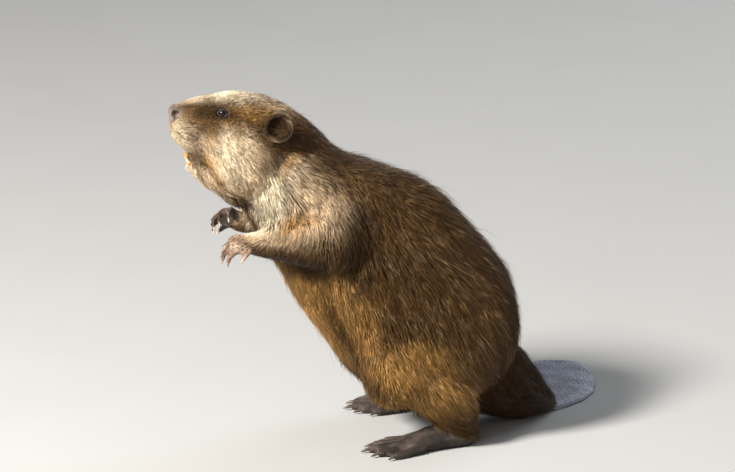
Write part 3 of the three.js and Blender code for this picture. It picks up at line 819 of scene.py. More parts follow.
def lid_rings(side):
    """The eyelids: a closed ring over the eyeball, thickest round its almond opening."""
    settings = bpy.context.scene.beaver_head
    centre = box_centre(f"eye_{side}")
    out = gaze_of(side)
    up = (LID_UP - out * out.dot(LID_UP)).normalized()
    fore = up.cross(out).normalized()
    ball = eye_radius(side)
    points = []
    for turn in np.linspace(0, 2 * math.pi, LID_SIDES, endpoint=False):
        wide, high = math.cos(turn), math.sin(turn)
        across, upright = wide / settings.eye_width, high / settings.eye_height
        opening = 1 / math.sqrt(across**2 + upright**2)
        for past, over in LID_PROFILE:
            tilt = min(opening + math.radians(past), LID_REACH)
            way = out * math.cos(tilt) + (fore * wide + up * high) * math.sin(tilt)
            fullness = 1 + UPPER_LID * high * (over > 0)
            points.append(centre + way * (ball + over * fullness * MM))
    rows = len(LID_PROFILE)
    faces = [
        (
            k * rows + j,
            k * rows + (j + 1) % rows,
            (k + 1) % LID_SIDES * rows + (j + 1) % rows,
            (k + 1) % LID_SIDES * rows + j,
        )
        for k in range(LID_SIDES)
        for j in range(rows)
    ]
    if SIDES[side] > 0:
        faces = [face[::-1] for face in faces]
    return np.array(points), np.array(faces)


def folded(points, normals):
    """Presses the folds of the body and the nostrils into the skin."""
    deep = np.zeros(len(points))
    for line, depth, width in FOLDS.values():
        deep += depth * np.exp(-((from_line(points, line) / width) ** 2))
    moved = points - normals * (deep * MM)[:, None]
    centre, radius = NOSTRIL
    for sign in SIDES.values():
        hole = np.array(at(centre[0], sign * centre[1], centre[2]))
        away = np.linalg.norm(moved - hole, axis=1) / (radius * MM)
        inward = np.array((0.75, -sign * 0.62, -0.1))
        moved += inward * (NOSTRIL_DEPTH * MM * np.exp(-(away**4)))[:, None]
        rim = np.exp(-(((away - 1.45) / 0.35) ** 2))
        moved += normals * (NOSTRIL_RIM * MM * rim)[:, None]
    return moved


def scale_relief(points, owners):
    """How far each point of the tail stands up in scales, as a share from 0 to 1."""
    on_tail = np.nonzero(belongs(owners, ("tail_paddle",)))[0]
    settings = bpy.context.scene.beaver_skin
    turn = settings.tail_turn
    places = own_mm(points[on_tail])
    along = places[:, 0] * math.cos(turn) + places[:, 1] * math.sin(turn)
    across = -places[:, 0] * math.sin(turn) + places[:, 1] * math.cos(turn)
    rows, columns = along / settings.scale_length, across / settings.scale_width
    best = np.full((2, len(on_tail)), np.inf)
    for down in (-1, 0, 1):
        for over in (-1, 0, 1):
            row = np.floor(rows) + down
            column = np.floor(columns + 0.5 * (row % 2)) + over
            # a share that looks random and is always the same for the same scale
            seed = np.sin(row * 12.9898 + column * 78.233) * 43758.5453
            jitter = seed - np.floor(seed) - 0.5
            far = np.hypot(
                rows - row - 0.5 - 0.3 * jitter,
                columns + 0.5 * (row % 2) - column - 0.5 + 0.3 * jitter,
            )
            closer = far < best[0]
            best[1] = np.where(closer, best[0], np.minimum(best[1], far))
            best[0] = np.where(closer, far, best[0])
    relief = np.zeros(len(points))
    relief[on_tail] = step(0.0, SCALE_EDGE, best[1] - best[0])
    return relief


def oval_mesh(shape):
    """A ball stretched to an oval, to be joined to the flesh before it is remeshed."""
    work = bmesh.new()
    bmesh.ops.create_icosphere(work, subdivisions=4, radius=1)
    for vertex in work.verts:
        vertex.co = at(*(c + r * v for c, r, v in zip(*shape, vertex.co)))
    return ended(work, "oval")


def build_skin():
    """The whole skin, inside the solids by the coat's depth, coarser where the coat hides it."""
    settings = bpy.context.scene.beaver_skin
    fine = settings.voxel * MM * 1.0
    find = node_finder()
    joined = merged("joined", [grown(FLESH, GAP_CLOSER * MM), oval_mesh(MOUTH_LINING)])
    outer = largest_island(in_voxels(joined, "outer", OUTER_VOXEL * MM))
    points, edges = points_of(outer), edges_of(outer)
    owners = find(points)
    calm = evened(belongs(owners, BARE + EARS).astype(float), edges, 4)
    body = step(*HEAD_END, own_mm(points)[:, 0])[:, None]
    calmed = evened(points, edges, 8)
    calmed += (evened(calmed, edges, 22) - calmed) * body
    points += (calmed - points) * (1 - calm)[:, None]
    set_points(outer, points)
    lie, _ = lie_of(points, belongs(owners, ARMS))
    bare = np.maximum(calm, 1 - step(0.8, 1.1, oval(points, NOSE_PAD)))
    depth = lie[:, 4] * settings.coat_depth * (1 - bare) + GAP_CLOSER * bare
    depth = evened(depth, edges, 10)
    normal = unit(evened(normals_of(outer), edges, 6))
    # The thin bare parts are taken from the solids themselves, which the coarse mesh would blunt.
    set_points(outer, points - normal * (depth * MM)[:, None])
    thin = grown([node for node in FLESH if node in BARE + EARS], -THIN_INSET * MM)
    inner = largest_island(in_voxels(merged("inset", [outer, thin]), "inner", fine))
    points, edges = points_of(inner), edges_of(inner)
    owners = find(points)
    calm = evened(belongs(owners, BARE + EARS).astype(float), edges, 3)
    for share in (0.5, -0.52) * 6:
        points += (evened(points, edges, 1, share) - points) * (1 - 0.6 * calm)[:, None]
    set_points(inner, points)
    points = folded(points, normals_of(inner))
    relief = scale_relief(points, owners)
    set_points(inner, points)
    points += normals_of(inner) * ((relief - 1) * settings.scale_height * MM)[:, None]
    set_points(inner, points)
    places = own_mm(points)
    coated = ~belongs(owners, BARE + EARS) & (places[:, 0] > MUZZLE_END)
    hidden = coated | (places[:, 2] < SOLE_TOP)
    group = np.nonzero(hidden)[0].tolist()
    made = applied(inner, "thinned", "DECIMATE", group, ratio=settings.kept, vertex_group_factor=10)
    bpy.data.meshes.remove(inner)
    return made, find


# ---- coat ------------------------------------------------------------------------------------


def unwrapped(points, triangles, name):
    """Where each corner of these triangles lies on a flat map of their own surface."""
    used, compact = np.unique(triangles, return_inverse=True)
    mesh = mesh_of(name, points[used], compact.reshape(-1, 3))
    carrier = link(name, mesh)
    bpy.context.view_layer.objects.active = carrier
    carrier.select_set(True)
    mesh.uv_layers.new(name="map")
    bpy.ops.object.mode_set(mode="EDIT")
    bpy.ops.mesh.select_all(action="SELECT")
    bpy.ops.uv.smart_project(angle_limit=math.radians(70), island_margin=0.004)
    bpy.ops.object.mode_set(mode="OBJECT")
    corners = read(mesh.uv_layers["map"].uv, "vector", 2).reshape(-1, 3, 2)
    bpy.data.objects.remove(carrier)
    bpy.data.meshes.remove(mesh)
    return corners


def areas_of(points, triangles):
    edge = points[triangles[:, 1:]] - points[triangles[:, :1]]
    return 0.5 * np.linalg.norm(np.cross(edge[:, 0], edge[:, 1]), axis=1)


def rooted(triangles, points, weight, count, rng):
    """Even random places on the triangles: the triangle's index and the corners' shares."""
    total = np.cumsum(areas_of(points, triangles) * weight)
    target = (np.arange(count) + rng.random(count)) / count * total[-1]
    index = np.minimum(np.searchsorted(total, target), len(triangles) - 1)
    u, v = rng.random(count), rng.random(count)
    flip = u + v > 1
    u[flip], v[flip] = 1 - u[flip], 1 - v[flip]
    return index, np.stack([1 - u - v, u, v], 1)


def across_surface(points, tree):
    """The nearest point of the skin and its normal, for each point."""
    found = [tree.find_nearest(p)[:2] for p in points.tolist()]
    return (
        np.array([tuple(place) for place, _ in found]),
        np.array([tuple(normal) for _, normal in found]),
    )


def tuft_rings(root, middle, tip, normal_root, normal_middle, width):
    """Seven points for each tuft: a ridged ring at the root, a wider one half way, and the tip."""
    rings = []
    for place, ahead, normal, share in (
        (root, middle - root, normal_root, ROOT_WIDTH),
        (middle, tip - root, normal_middle, 1.0),
    ):
        side = unit(np.cross(ahead, normal))
        top = unit(np.cross(side, ahead))
        half = (width * share / 2)[:, None]
        rings += [place - side * half, place + side * half, place + top * half * RIDGE]
    return np.stack([*rings, tip], 1)


# How tufts differ from one another: a pair is the least value and what chance may add to it.
SIZE_SPREAD = (0.75, 0.5)
LAYER_SPREAD = (0.3, 0.75, 0.8)  # height in the coat, with a power that fills its upper part
WIDTH_SPREAD = (0.7, 0.6)
PULL_SPREAD = (0.6, 0.8)
LOCK_HEIGHT = (0.8, 0.4)
LIE_SCATTER = 0.07  # how unevenly neighbours point
SWIRL = 0.1  # and how far they follow the swirls of the coat
SWAY = 0.045  # sideways bend, as a share of the length
BLADE_WIDTH = (0.5, 0.024)  # in millimetres, and what a millimetre of length adds to it
GUARD_SHARE = 0.12  # share of the tufts that are guard hairs
GUARD_FACTORS = (1.35, 1.4, 0.6)  # their length, height and width beside the others'
LIFTED_SHARE, LIFTED_HEIGHT = 0.02, 1.5  # a few tufts stand out
MIDDLE_PLACE = 0.52  # the middle of a tuft, as a share of its length
MIDDLE_HEIGHT = 0.72  # and of its tip's height
MIDDLE_LIFT, TIP_LIFT = 0.2 * MM, 0.1 * MM
TIP_SWAY = 2.2
MOST_LEAN = 0.35  # furthest that a tip goes to its lock, as a share of its length
MIDDLE_LEAN = 0.35  # how far its middle goes, as a share of that
MIDDLE_REACH, TIP_REACH = 0.3, 0.4  # skin that is further off belongs to another part
SHORT_STEP = 0.2  # the step that a tuft takes instead, as a share of its length
ROOT_DEPTH = 0.6 * MM
ROOT_WIDTH = 0.75  # beside the middle's
RIDGE = 0.8  # height of a tuft's ridge, as a share of half its width
FLOOR_GAP = 0.4 * MM
TONE_SPREAD, LOCK_TONE, SWATH_TONE = 0.13, 0.62, 0.07
LOCK_STRETCH = 3.5  # how many times longer than wide a lock of hair is
DRIFT_SIZE = 9 * MM  # how far it is from one swirl of the coat to the next

# A tuft is a ridged blade: three points round its root, three round its middle, and its tip.
TUFT_FACES = np.array(
    [(0, 1, 2)]
    + [(0, 2, 5), (0, 5, 3), (2, 1, 4), (2, 4, 5), (1, 0, 3), (1, 3, 4)]
    + [(3, 5, 6), (5, 4, 6), (4, 3, 6)]
)
TUFT_ALONG = np.array([0, 0, 0, 0.55, 0.55, 0.55, 1])
TUFT_PATCH = np.array(
    [(-0.5, 0), (0.5, 0), (0, 0.08), (-0.5, 0.55), (0.5, 0.55), (0, 0.6), (0, 1)]
)
TUFT_POINTS = len(TUFT_ALONG)


def chance(rng, count, least, more, power=1):
    """A random number for each of so many things, from the least up by what may be added."""
    return least + more * rng.random(count) ** power


def strands(lie, rng):
    """The length, the height in the coat and the width of each tuft."""
    settings = bpy.context.scene.beaver_coat
    count = len(lie)
    length = lie[:, 3] * chance(rng, count, *SIZE_SPREAD) * settings.length * MM
    layer = chance(rng, count, *LAYER_SPREAD)
    blade = BLADE_WIDTH[0] + lie[:, 3] * BLADE_WIDTH[1]
    width = blade * chance(rng, count, *WIDTH_SPREAD) * MM * settings.width
    guard = rng.random(count) < GUARD_SHARE
    for values, factor in zip((length, layer, width), GUARD_FACTORS):
        values[guard] *= factor
    layer[rng.random(count) < LIFTED_SHARE] *= LIFTED_HEIGHT
    return length, layer, width


def gathered(root, flow, side, length, centre, rng):
    """The middle and the tip of each tuft, which sway and lean towards the centre of its lock."""
    sway = rng.normal(0, SWAY, len(root))[:, None]
    middle = root + flow * (length * MIDDLE_PLACE)[:, None] + side * sway * length[:, None]
    tip = root + flow * length[:, None] + side * TIP_SWAY * sway * length[:, None]
    lean = side * ((centre - root) * side).sum(1, keepdims=True)
    reach = np.linalg.norm(lean, axis=1, keepdims=True)
    lean *= np.minimum(1, MOST_LEAN * length[:, None] / np.maximum(reach, 1e-9))
    pull = bpy.context.scene.beaver_coat.clump * chance(rng, len(root), *PULL_SPREAD)[:, None]
    return middle + lean * pull * MIDDLE_LEAN, tip + lean * pull


def on_skin(places, last, last_up, flow, length, reach, astray, tree):
    """The skin under each place and its normal, or a short step on for one that goes astray.

    The tufts that go astray are noted in the mask that is handed in.
    """
    ground, up = across_surface(places, tree)
    astray |= np.linalg.norm(ground - places, axis=1) > reach * length
    ground[astray] = last[astray] + flow[astray] * (SHORT_STEP * length[astray])[:, None]
    up[astray] = last_up[astray]
    return ground, up


def grow_coat(name, skin, chosen, rng, tree, clumps):
    """One piece of coat, rooted in the chosen triangles of the skin."""
    settings = bpy.context.scene.beaver_coat
    triangles, points = skin["triangles"][chosen], skin["points"]
    spacing = skin["lie"][triangles][..., 5].mean(1) * settings.spacing
    weight = skin["cover"][triangles].mean(1) / (spacing * MM) ** 2
    wanted = (areas_of(points, triangles) * weight).sum() * 1
    count = int(min(wanted, settings.most_tufts))
    index, share = rooted(triangles, points, weight, count, rng)
    corner = triangles[index]

    def here(values):
        return (values[corner] * share.reshape(*share.shape, *[1] * (values.ndim - 1))).sum(1)

    root, normal = here(points), unit(here(skin["normals"]))
    lie, marks = here(skin["lie"]), here(skin["marks"])
    scatter = rng.normal(0, LIE_SCATTER, (count, 3))
    flow = unit(lie[:, :3] + scatter + SWIRL * drift(root, clumps["waves"]))
    flow = unit(flow - normal * (flow * normal).sum(1, keepdims=True))
    side = unit(np.cross(flow, normal))
    length, layer, width = strands(lie, rng)
    near = lock_of(root, flow, clumps)
    middle, tip = gathered(root, flow, side, length, clumps["places"][near], rng)
    layer *= LOCK_HEIGHT[0] + LOCK_HEIGHT[1] * clumps["height"][near]
    depth = lie[:, 4] * settings.depth * MM * layer
    astray = np.zeros(count, bool)
    ground, up = on_skin(middle, root, normal, flow, length, MIDDLE_REACH, astray, tree)
    middle = ground + up * (depth * MIDDLE_HEIGHT + MIDDLE_LIFT)[:, None]
    ground, up_tip = on_skin(tip, ground, up, flow, length, TIP_REACH, astray, tree)
    tip = ground + up_tip * (depth + TIP_LIFT)[:, None]
    root = root - normal * ROOT_DEPTH
    shape = tuft_rings(root, middle, tip, normal, up, width)
    shape[..., 2] = np.maximum(shape[..., 2], FLOOR_GAP)
    faces = (np.arange(count) * TUFT_POINTS)[:, None, None] + TUFT_FACES[None]
    mesh = mesh_of(f"coat_{name}", shape.reshape(-1, 3), faces.reshape(-1, 3))
    lock_tone = clumps["tone"][near]
    swath = drift(root, clumps["waves"])[:, 0] * SWATH_TONE
    tone = rng.normal(0.5, TONE_SPREAD, count) + LOCK_TONE * (lock_tone - 0.5) + swath
    tone = np.clip(tone, 0, 1)
    dotted = lock_tone * 0.6 + rng.random(count) * 0.4
    speckled = dotted > 1 - SPECKLES * (1 - step(0.7, 1.15, oval(root, WHISKER_BED)))
    marks[speckled, 3] = np.maximum(marks[speckled, 3], SPECKLE_MARK)
    marks = np.repeat(marks, TUFT_POINTS, axis=0)
    add_vectors(mesh, "marks", marks[:, :3])
    along, tone = np.tile(TUFT_ALONG, count), np.repeat(tone, TUFT_POINTS)
    add_vectors(mesh, "strand", np.stack([along, tone, marks[:, 3]], 1))
    flat = unwrapped(points, triangles, f"map_{name}")
    centre = (flat[index] * share[..., None]).sum(1)
    patch = (centre[:, None] + TUFT_PATCH[None] * settings.patch).reshape(-1, 2)
    layer_map = mesh.uv_layers.new(name="OFBake")
    layer_map.uv.foreach_set("vector", patch[faces.ravel()].astype(np.float32).ravel())
    return link(f"coat_{name}", mesh)


def lock_of(root, flow, clumps):
    """The lock of each root: the nearest one, where distance counts less along the hair."""
    nearest = np.array([[k for _, k, _ in clumps["tree"].find_n(p, 10)] for p in root.tolist()])
    gap = clumps["places"][nearest] - root[:, None]
    along = (gap * flow[:, None]).sum(2)
    gap -= flow[:, None] * along[..., None]
    far = (gap**2).sum(2) + (along / LOCK_STRETCH) ** 2
    return nearest[np.arange(len(root)), far.argmin(1)]


def drift(points, waves):
    """A smooth random vector at each point."""
    total = np.zeros_like(points)
    for wave, phase in waves:
        total += np.sin(points @ wave + phase)
    return total / len(waves) ** 0.5


def clump_points(skin, rng):
    """Places that the tips of neighbouring tufts lean towards."""
    triangles = skin["triangles"]
    spacing = skin["lie"][triangles][..., 5].mean(1)
    weight = 1 / (spacing * bpy.context.scene.beaver_coat.clump_size * MM) ** 2
    count = int((areas_of(skin["points"], triangles) * weight).sum())
    index, share = rooted(triangles, skin["points"], weight, count, rng)
    corner = triangles[index]
    place = (skin["points"][corner] * share[..., None]).sum(1)
    tree = KDTree(count)
    for k, p in enumerate(place.tolist()):
        tree.insert(p, k)
    tree.balance()
    waves = [(rng.normal(0, 1, (3, 3)) / DRIFT_SIZE, rng.uniform(0, 6.28, 3)) for _ in range(6)]
    return {
        "tree": tree,
        "places": place,
        "tone": rng.random(count),
        "height": rng.random(count),
        "waves": waves,
    }


# ---- settings --------------------------------------------------------------------------------


def number(name, description, default, **settings):
    return FloatProperty(name=name, description=description, default=default, **settings)


def millimetres(name, description, default):
    return number(name, description, default, min=0)


def share_of(name, description, default):
    return number(name, description, default, min=0, subtype="FACTOR")


def colour(name, description, default):
    return FloatVectorProperty(
        name=name, description=description, default=default, size=3, min=0, max=1, subtype="COLOR"
    )


def angle(name, description, default):
    return number(name, description, math.radians(default), subtype="ANGLE", unit="ROTATION")


class BeaverSkin(bpy.types.PropertyGroup):
    voxel: millimetres("Grain", "Size of the skin's faces in millimetres", 1.3)
    kept: share_of("Faces kept", "Share of the skin's faces that are kept under the coat", 0.2)
    tail_turn: angle("Tail turn", "Way that the tail's paddle points", 76)
    scale_length: millimetres("Scale length", "Length of a tail scale in millimetres", 4.2)
    scale_width: millimetres("Scale width", "Width of a tail scale in millimetres", 6.5)
    scale_height: millimetres("Scale height", "Height of a tail scale in millimetres", 0.55)
    hand_hair: share_of("Hand hair", "Cover of short hair on the backs of the hands", 0.3)
    coat_depth: share_of("Coat depth", "Depth of the skin, as a share of the coat's depth", 0.9)
    hand_light: colour("Hand, light", "Raised skin of the hands", (0.6, 0.44, 0.33))
    hand_dark: colour("Hand, dark", "Folded skin of the hands", (0.13, 0.07, 0.042))
    foot_light: colour("Foot, light", "Raised skin of the hind feet", (0.085, 0.062, 0.05))
    foot_dark: colour("Foot, dark", "Folded skin of the hind feet", (0.02, 0.014, 0.011))
    # the tail's bluish tint is painted sky reflection over its own dark grey skin
    tail_light: colour("Tail, light", "Tops of the tail's scales", (0.27, 0.3, 0.4))
    tail_dark: colour("Tail, dark", "Skin between the tail's scales", (0.09, 0.095, 0.13))
    nose_light: colour("Nose, light", "Raised skin of the nose", (0.3, 0.22, 0.19))
    nose_dark: colour("Nose, dark", "Folded skin of the nose", (0.1, 0.07, 0.06))


class BeaverHead(bpy.types.PropertyGroup):
    eye_width: angle("Eye width", "Half of the eye's opening from side to side", 60)
    eye_height: angle("Eye height", "Half of the eye's opening from top to bottom", 47)
    iris: colour("Iris", "Colour of the iris", (0.012, 0.007, 0.005))
    lid: colour("Lid", "Colour of the lids' bare margins", (0.022, 0.015, 0.012))
    enamel: colour("Enamel", "Colour of the incisors' front face", (0.72, 0.25, 0.035))
    ivory: colour("Ivory", "Colour of the incisors' worn edge", (0.78, 0.62, 0.36))
    whiskers: IntProperty(name="Whiskers", description="Whiskers on each side", default=16, min=0)


class BeaverCoat(bpy.types.PropertyGroup):
    spacing: share_of("Spacing", "Space between tufts, as a share of the coat's table", 0.88)
    most_tufts: IntProperty(
        name="Most tufts", description="Most tufts in one piece of coat", default=19900
    )
    length: share_of("Length", "Length of the guard hairs, as a share of the coat's table", 1.0)
    depth: share_of("Depth", "Thickness of the coat, as a share of the coat's table", 1.0)
    width: share_of("Width", "Width of the tufts, as a share of their usual width", 0.74)
    clump: share_of("Clumping", "How far neighbouring tips lean together", 0.55)
    clump_size: number("Clump size", "Size of a clump in tuft spacings", 4.4)
    patch: number("Patch", "Size of a tuft's patch on the coat's map", 0.003)
    brown: colour("Brown", "Hair of the back and sides", (0.092, 0.046, 0.017))
    pale: colour("Pale", "Hair of the crown, cheeks and throat", (0.7, 0.53, 0.35))
    cream: colour("Cream", "Hair of the lips, chin and breast", (1.0, 0.9, 0.69))
    rust: colour("Rust", "Hair of the belly and the folds", (0.46, 0.25, 0.075))
    dark: colour("Dark", "Hair of the muzzle, rump and tail root", (0.029, 0.0125, 0.005))


class BeaverStage(bpy.types.PropertyGroup):
    azimuth: angle("Azimuth", "Turn of the camera from the animal's left side", -12)
    elevation: angle("Elevation", "Height of the camera over the level", 13.5)
    distance: number("Distance", "Camera to animal", 6.0, unit="LENGTH")
    lens: number("Lens", "Focal length in millimetres", 226.1)
    key: number("Key light", "Power of the key light in watts", 760)
    fill: number("Fill light", "Power of the fill light in watts", 30)
    back: number("Back light", "Power of the back light in watts", 110)
    floor: colour("Floor", "Colour of the floor", (0.4, 0.405, 0.41))


# ---- operators -------------------------------------------------------------------------------


class BEAVER_OT_stage(bpy.types.Operator):
    """Floor, lights and camera"""

    bl_idname = "beaver.stage"
    bl_label = "Stage"

    def execute(self, context):
        settings = context.scene.beaver_stage
        work = bmesh.new()
        bmesh.ops.create_circle(work, cap_ends=True, segments=96, radius=9)
        mesh = ended(work, "studio_floor")
        floor = link("studio_floor", mesh)
        material, tree, shader = new_material("studio_floor", Roughness=0.85)
        place = object_place(tree)
        cloud = noise(tree, place, 5.0, 4.0)
        clouded = blended(tree, cloud, shade_of(settings.floor, 0.94), rgba(settings.floor))
        tree.links.new(clouded, shader.inputs["Base Color"])
        mesh.materials.append(material)

        world = bpy.data.worlds.new("studio")
        world.use_nodes = True
        world.node_tree.nodes["Background"].inputs[0].default_value = (1.0, 0.98, 0.96, 1)
        world.node_tree.nodes["Background"].inputs[1].default_value = 0.2
        context.scene.world = world
        middle = at(*VIEW_MIDDLE)
        for name, offset, power, size, tint in (
            ("key_light", (-3.55, -2.05, 3.1), settings.key, 1.1, (1.0, 0.95, 0.87)),
            ("fill_light", (-1.4, -3.3, 1.1), settings.fill, 2.4, (1.0, 0.96, 0.9)),
            ("back_light", (3.4, 2.9, 2.6), settings.back, 2.8, (0.92, 0.96, 1.0)),
        ):
            lamp = bpy.data.lights.new(name, "AREA")
            lamp.energy, lamp.size, lamp.color = power, size, tint
            holder = link(name, lamp)
            holder.location = middle + Vector(offset)
            holder.rotation_euler = (-Vector(offset)).to_track_quat("-Z", "Y").to_euler()

        turn, rise = settings.azimuth, settings.elevation
        level = math.cos(rise)
        back = Vector((math.sin(turn) * level, -math.cos(turn) * level, math.sin(rise)))
        camera = bpy.data.cameras.new("camera")
        camera.sensor_width = 36
        camera.lens = settings.lens
        camera.clip_end = 60
        holder = link("camera", camera)
        holder.location = middle + back * settings.distance
        holder.rotation_euler = (-back).to_track_quat("-Z", "Y").to_euler()
        context.scene.camera = holder
        context.scene.view_settings.view_transform = "Standard"
        return {"FINISHED"}


class BEAVER_OT_skin(bpy.types.Operator):
    """One skin over the whole body, under the coat, with lids, lips, hands, feet and tail"""

    bl_idname = "beaver.skin"
    bl_label = "Skin"

    def execute(self, context):
        inner, find = build_skin()
        points, triangles = points_of(inner), triangles_of(inner)
        owners = find(points)
        lie, pieces, cover = self.hair(inner, points, owners)
        SKIN.update(
            points=points,
            normals=unit(evened(normals_of(inner), edges_of(inner), 2)),
            triangles=triangles,
            lie=lie,
            pieces=pieces,
            cover=cover,
            marks=self.ear_marks(marks_at(points), points, owners),
        )
        count = len(points)
        strand = np.stack([np.full(count, 0.3), np.full(count, 0.5), SKIN["marks"][:, 3]], 1)
        all_points, all_faces = [points], [triangles]
        start = count
        for side in SIDES:
            ring, quads = lid_rings(side)
            all_points.append(ring)
            all_faces.append(np.concatenate([quads[:, [0, 1, 2]], quads[:, [0, 2, 3]]]) + start)
            start += len(ring)
        lids = start - count
        mesh = mesh_of("skin", np.concatenate(all_points), np.concatenate(all_faces))
        add_vectors(mesh, "marks", np.concatenate([SKIN["marks"][:, :3], np.zeros((lids, 3))]))
        add_vectors(mesh, "strand", np.concatenate([strand, np.full((lids, 3), 0.5)]))
        add_values(mesh, "scales", np.concatenate([scale_relief(points, owners), np.zeros(lids)]))
        materials = self.materials(context.scene)
        slots = np.full(len(mesh.polygons), list(materials).index("lid"), np.int32)
        slots[: len(triangles)] = 0
        for name, chosen in (
            ("left_hand", belongs(owners, ("hand_left",))),
            ("foot", belongs(owners, ("foot_left", "foot_right"))),
            ("tail", belongs(owners, ("tail_paddle",))),
            ("nose", oval(points, NOSE_PAD) < NOSE_EDGE),
            ("right_hand", belongs(owners, ("hand_right",))),
        ):
            slots[: len(triangles)][chosen[triangles[:, 0]]] = list(materials).index(name)
        mesh.polygons.foreach_set("material_index", slots)
        for material in materials.values():
            mesh.materials.append(material)
        skin = link("skin", mesh)
        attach(skin, "root")
        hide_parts(*FLESH)
        bpy.data.meshes.remove(inner)
        return {"FINISHED"}

    @staticmethod
    def hair(inner, points, owners):
        """The lie of the hair, the piece of coat and the cover at each point of the skin."""
        edges, from_nose = edges_of(inner), oval(points, NOSE_PAD)
        lie, pieces = lie_of(points, belongs(owners, ARMS))
        lie = evened(lie, edges, 12)
        bare = evened(belongs(owners, BARE[1:]).astype(float), edges, 3)
        cover = np.clip(1 - bare * BARE_EDGE, 0, 1) * step(0.5, 0.95, from_nose)
        hands = evened(belongs(owners, ("hand_left", "hand_right")).astype(float), edges, 4)
        back_of_hand = hands * step(0.0, 0.6, normals_of(inner)[:, 2])
        share = bpy.context.scene.beaver_skin.hand_hair
        cover = np.maximum(cover, share * back_of_hand)
        lie[:, 3] *= NOSE_HAIR[0] + NOSE_HAIR[1] * step(0.8, 1.7, from_nose)
        ears = belongs(owners, EARS).astype(float)
        for place, hair in ((hands, HAND_HAIR), (ears, EAR_HAIR)):
            for column, size in zip((3, 4), hair):
                lie[:, column] = lie[:, column] * (1 - place) + size * place
        return lie, pieces, cover

    @classmethod
    def materials(cls, scene):
        """The skin's materials by the place that wears them, the hide under the coat first."""
        settings = scene.beaver_skin
        hand = settings.hand_light, settings.hand_dark
        foot = settings.foot_light, settings.foot_dark
        lid = scene.beaver_head.lid, (0.008, 0.006, 0.005)
        # the right hand's colours, darkened as painted shadow of the head and body
        shadow_tints = [tuple(c * RIGHT_HAND_SHADOW for c in tint) for tint in hand]
        return {
            "under_coat": under_coat_material(),
            "left_hand": hide_material("hand_skin", *hand, 1.1, 5, 0.0006, 0.5)[0],
            "foot": hide_material("foot_skin", *foot, 1.8, 7, 0.0008, 0.5)[0],
            "tail": cls.tail_material(settings),
            "nose": cls.nose_material(settings),
            "lid": hide_material("lid_skin", *lid, 0.7, 2, 0.0002, 0.5)[0],
            "right_hand": hide_material("shadowed_hand_skin", *shadow_tints, 1.1, 5, 0.0006, 0.45)[0],
        }

    @staticmethod
    def ear_marks(marks, points, owners):
        """Dark inside the ears, with a pale rim behind and below."""
        for side in SIDES:
            own = np.nonzero(belongs(owners, (f"ear_{side}",)))[0]
            centre = np.array(box_centre(f"ear_{side}"))
            low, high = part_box(f"ear_{side}")
            away = (points[own] - centre)[:, [0, 2]] / ((high.z - low.z) / 2)
            behind = step(-0.35, 0.15, away @ EAR_REAR)
            rim = step(*EAR_RIM, np.linalg.norm(away, axis=1)) * behind
            marks[own] = np.stack([0.75 * rim, 0 * rim, 0.5 * (1 - rim), 1 - 0.85 * rim], 1)
        return marks

    @staticmethod
    def tail_material(settings):
        """Dark skin between paler scales, which carry a fine grain and dried mud, all tinted bluish
        as painted sky reflection.
        """
        material, tree, shader = new_material("tail_skin", Specular_IOR_Level=0.5)
        place = object_place(tree)
        scale = attribute(tree, "scales")
        fine = noise(tree, place, 520.0, 4.0)
        grime = noise(tree, place, 30.0, 5.0)
        base = blended(tree, scale, rgba(settings.tail_dark), rgba(settings.tail_light))
        grained = spread(tree, fine, 0.3, 0.7, 0.8, 1.2)
        light = sums(tree, "MULTIPLY", grained, spread(tree, grime, 0.3, 0.7, 0.75, 1.2))
        tree.links.new(scaled(tree, base, light), shader.inputs["Base Color"])
        tree.links.new(spread(tree, grime, 0.3, 0.7, 0.58, 0.4), shader.inputs["Roughness"])
        bump(tree, shader, sums(tree, "MULTIPLY_ADD", fine, 0.25, scale), 0.7, 0.0006)
        return material

    @staticmethod
    def nose_material(settings):
        material, tree, shader, base = hide_material(
            "nose_skin", settings.nose_light, settings.nose_dark, 0.9, 4, 0.0004, 0.42
        )
        (x, y, z), radius = NOSTRIL
        # painted shade inside the nostrils
        spots = [(at(x + 1.5, sign * (y - 1), z), radius * 1.25 * MM) for sign in SIDES.values()]
        darkened_at(tree, shader, base, spots, (0.012, 0.008, 0.008))
        return material


class BEAVER_OT_coat(bpy.types.Operator):
    """Tufts of guard hair over the skin, in pieces that follow the body"""

    bl_idname = "beaver.coat"
    bl_label = "Coat"

    def execute(self, context):
        if not SKIN:
            raise RuntimeError("make the skin before the coat")
        rng = np.random.default_rng(SEED)
        tree = BVHTree.FromPolygons(SKIN["points"].tolist(), SKIN["triangles"].tolist())
        clumps = clump_points(SKIN, rng)
        material = coat_material()
        first = SKIN["pieces"][SKIN["triangles"][:, 0]]
        covered = SKIN["cover"][SKIN["triangles"]].min(1) > 0.02
        for name, slot in COAT_SLOTS.items():
            chosen = (first == name) & covered
            coat = grow_coat(name, SKIN, chosen, rng, tree, clumps)
            coat.data.materials.append(material)
            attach(coat, "root")
        return {"FINISHED"}


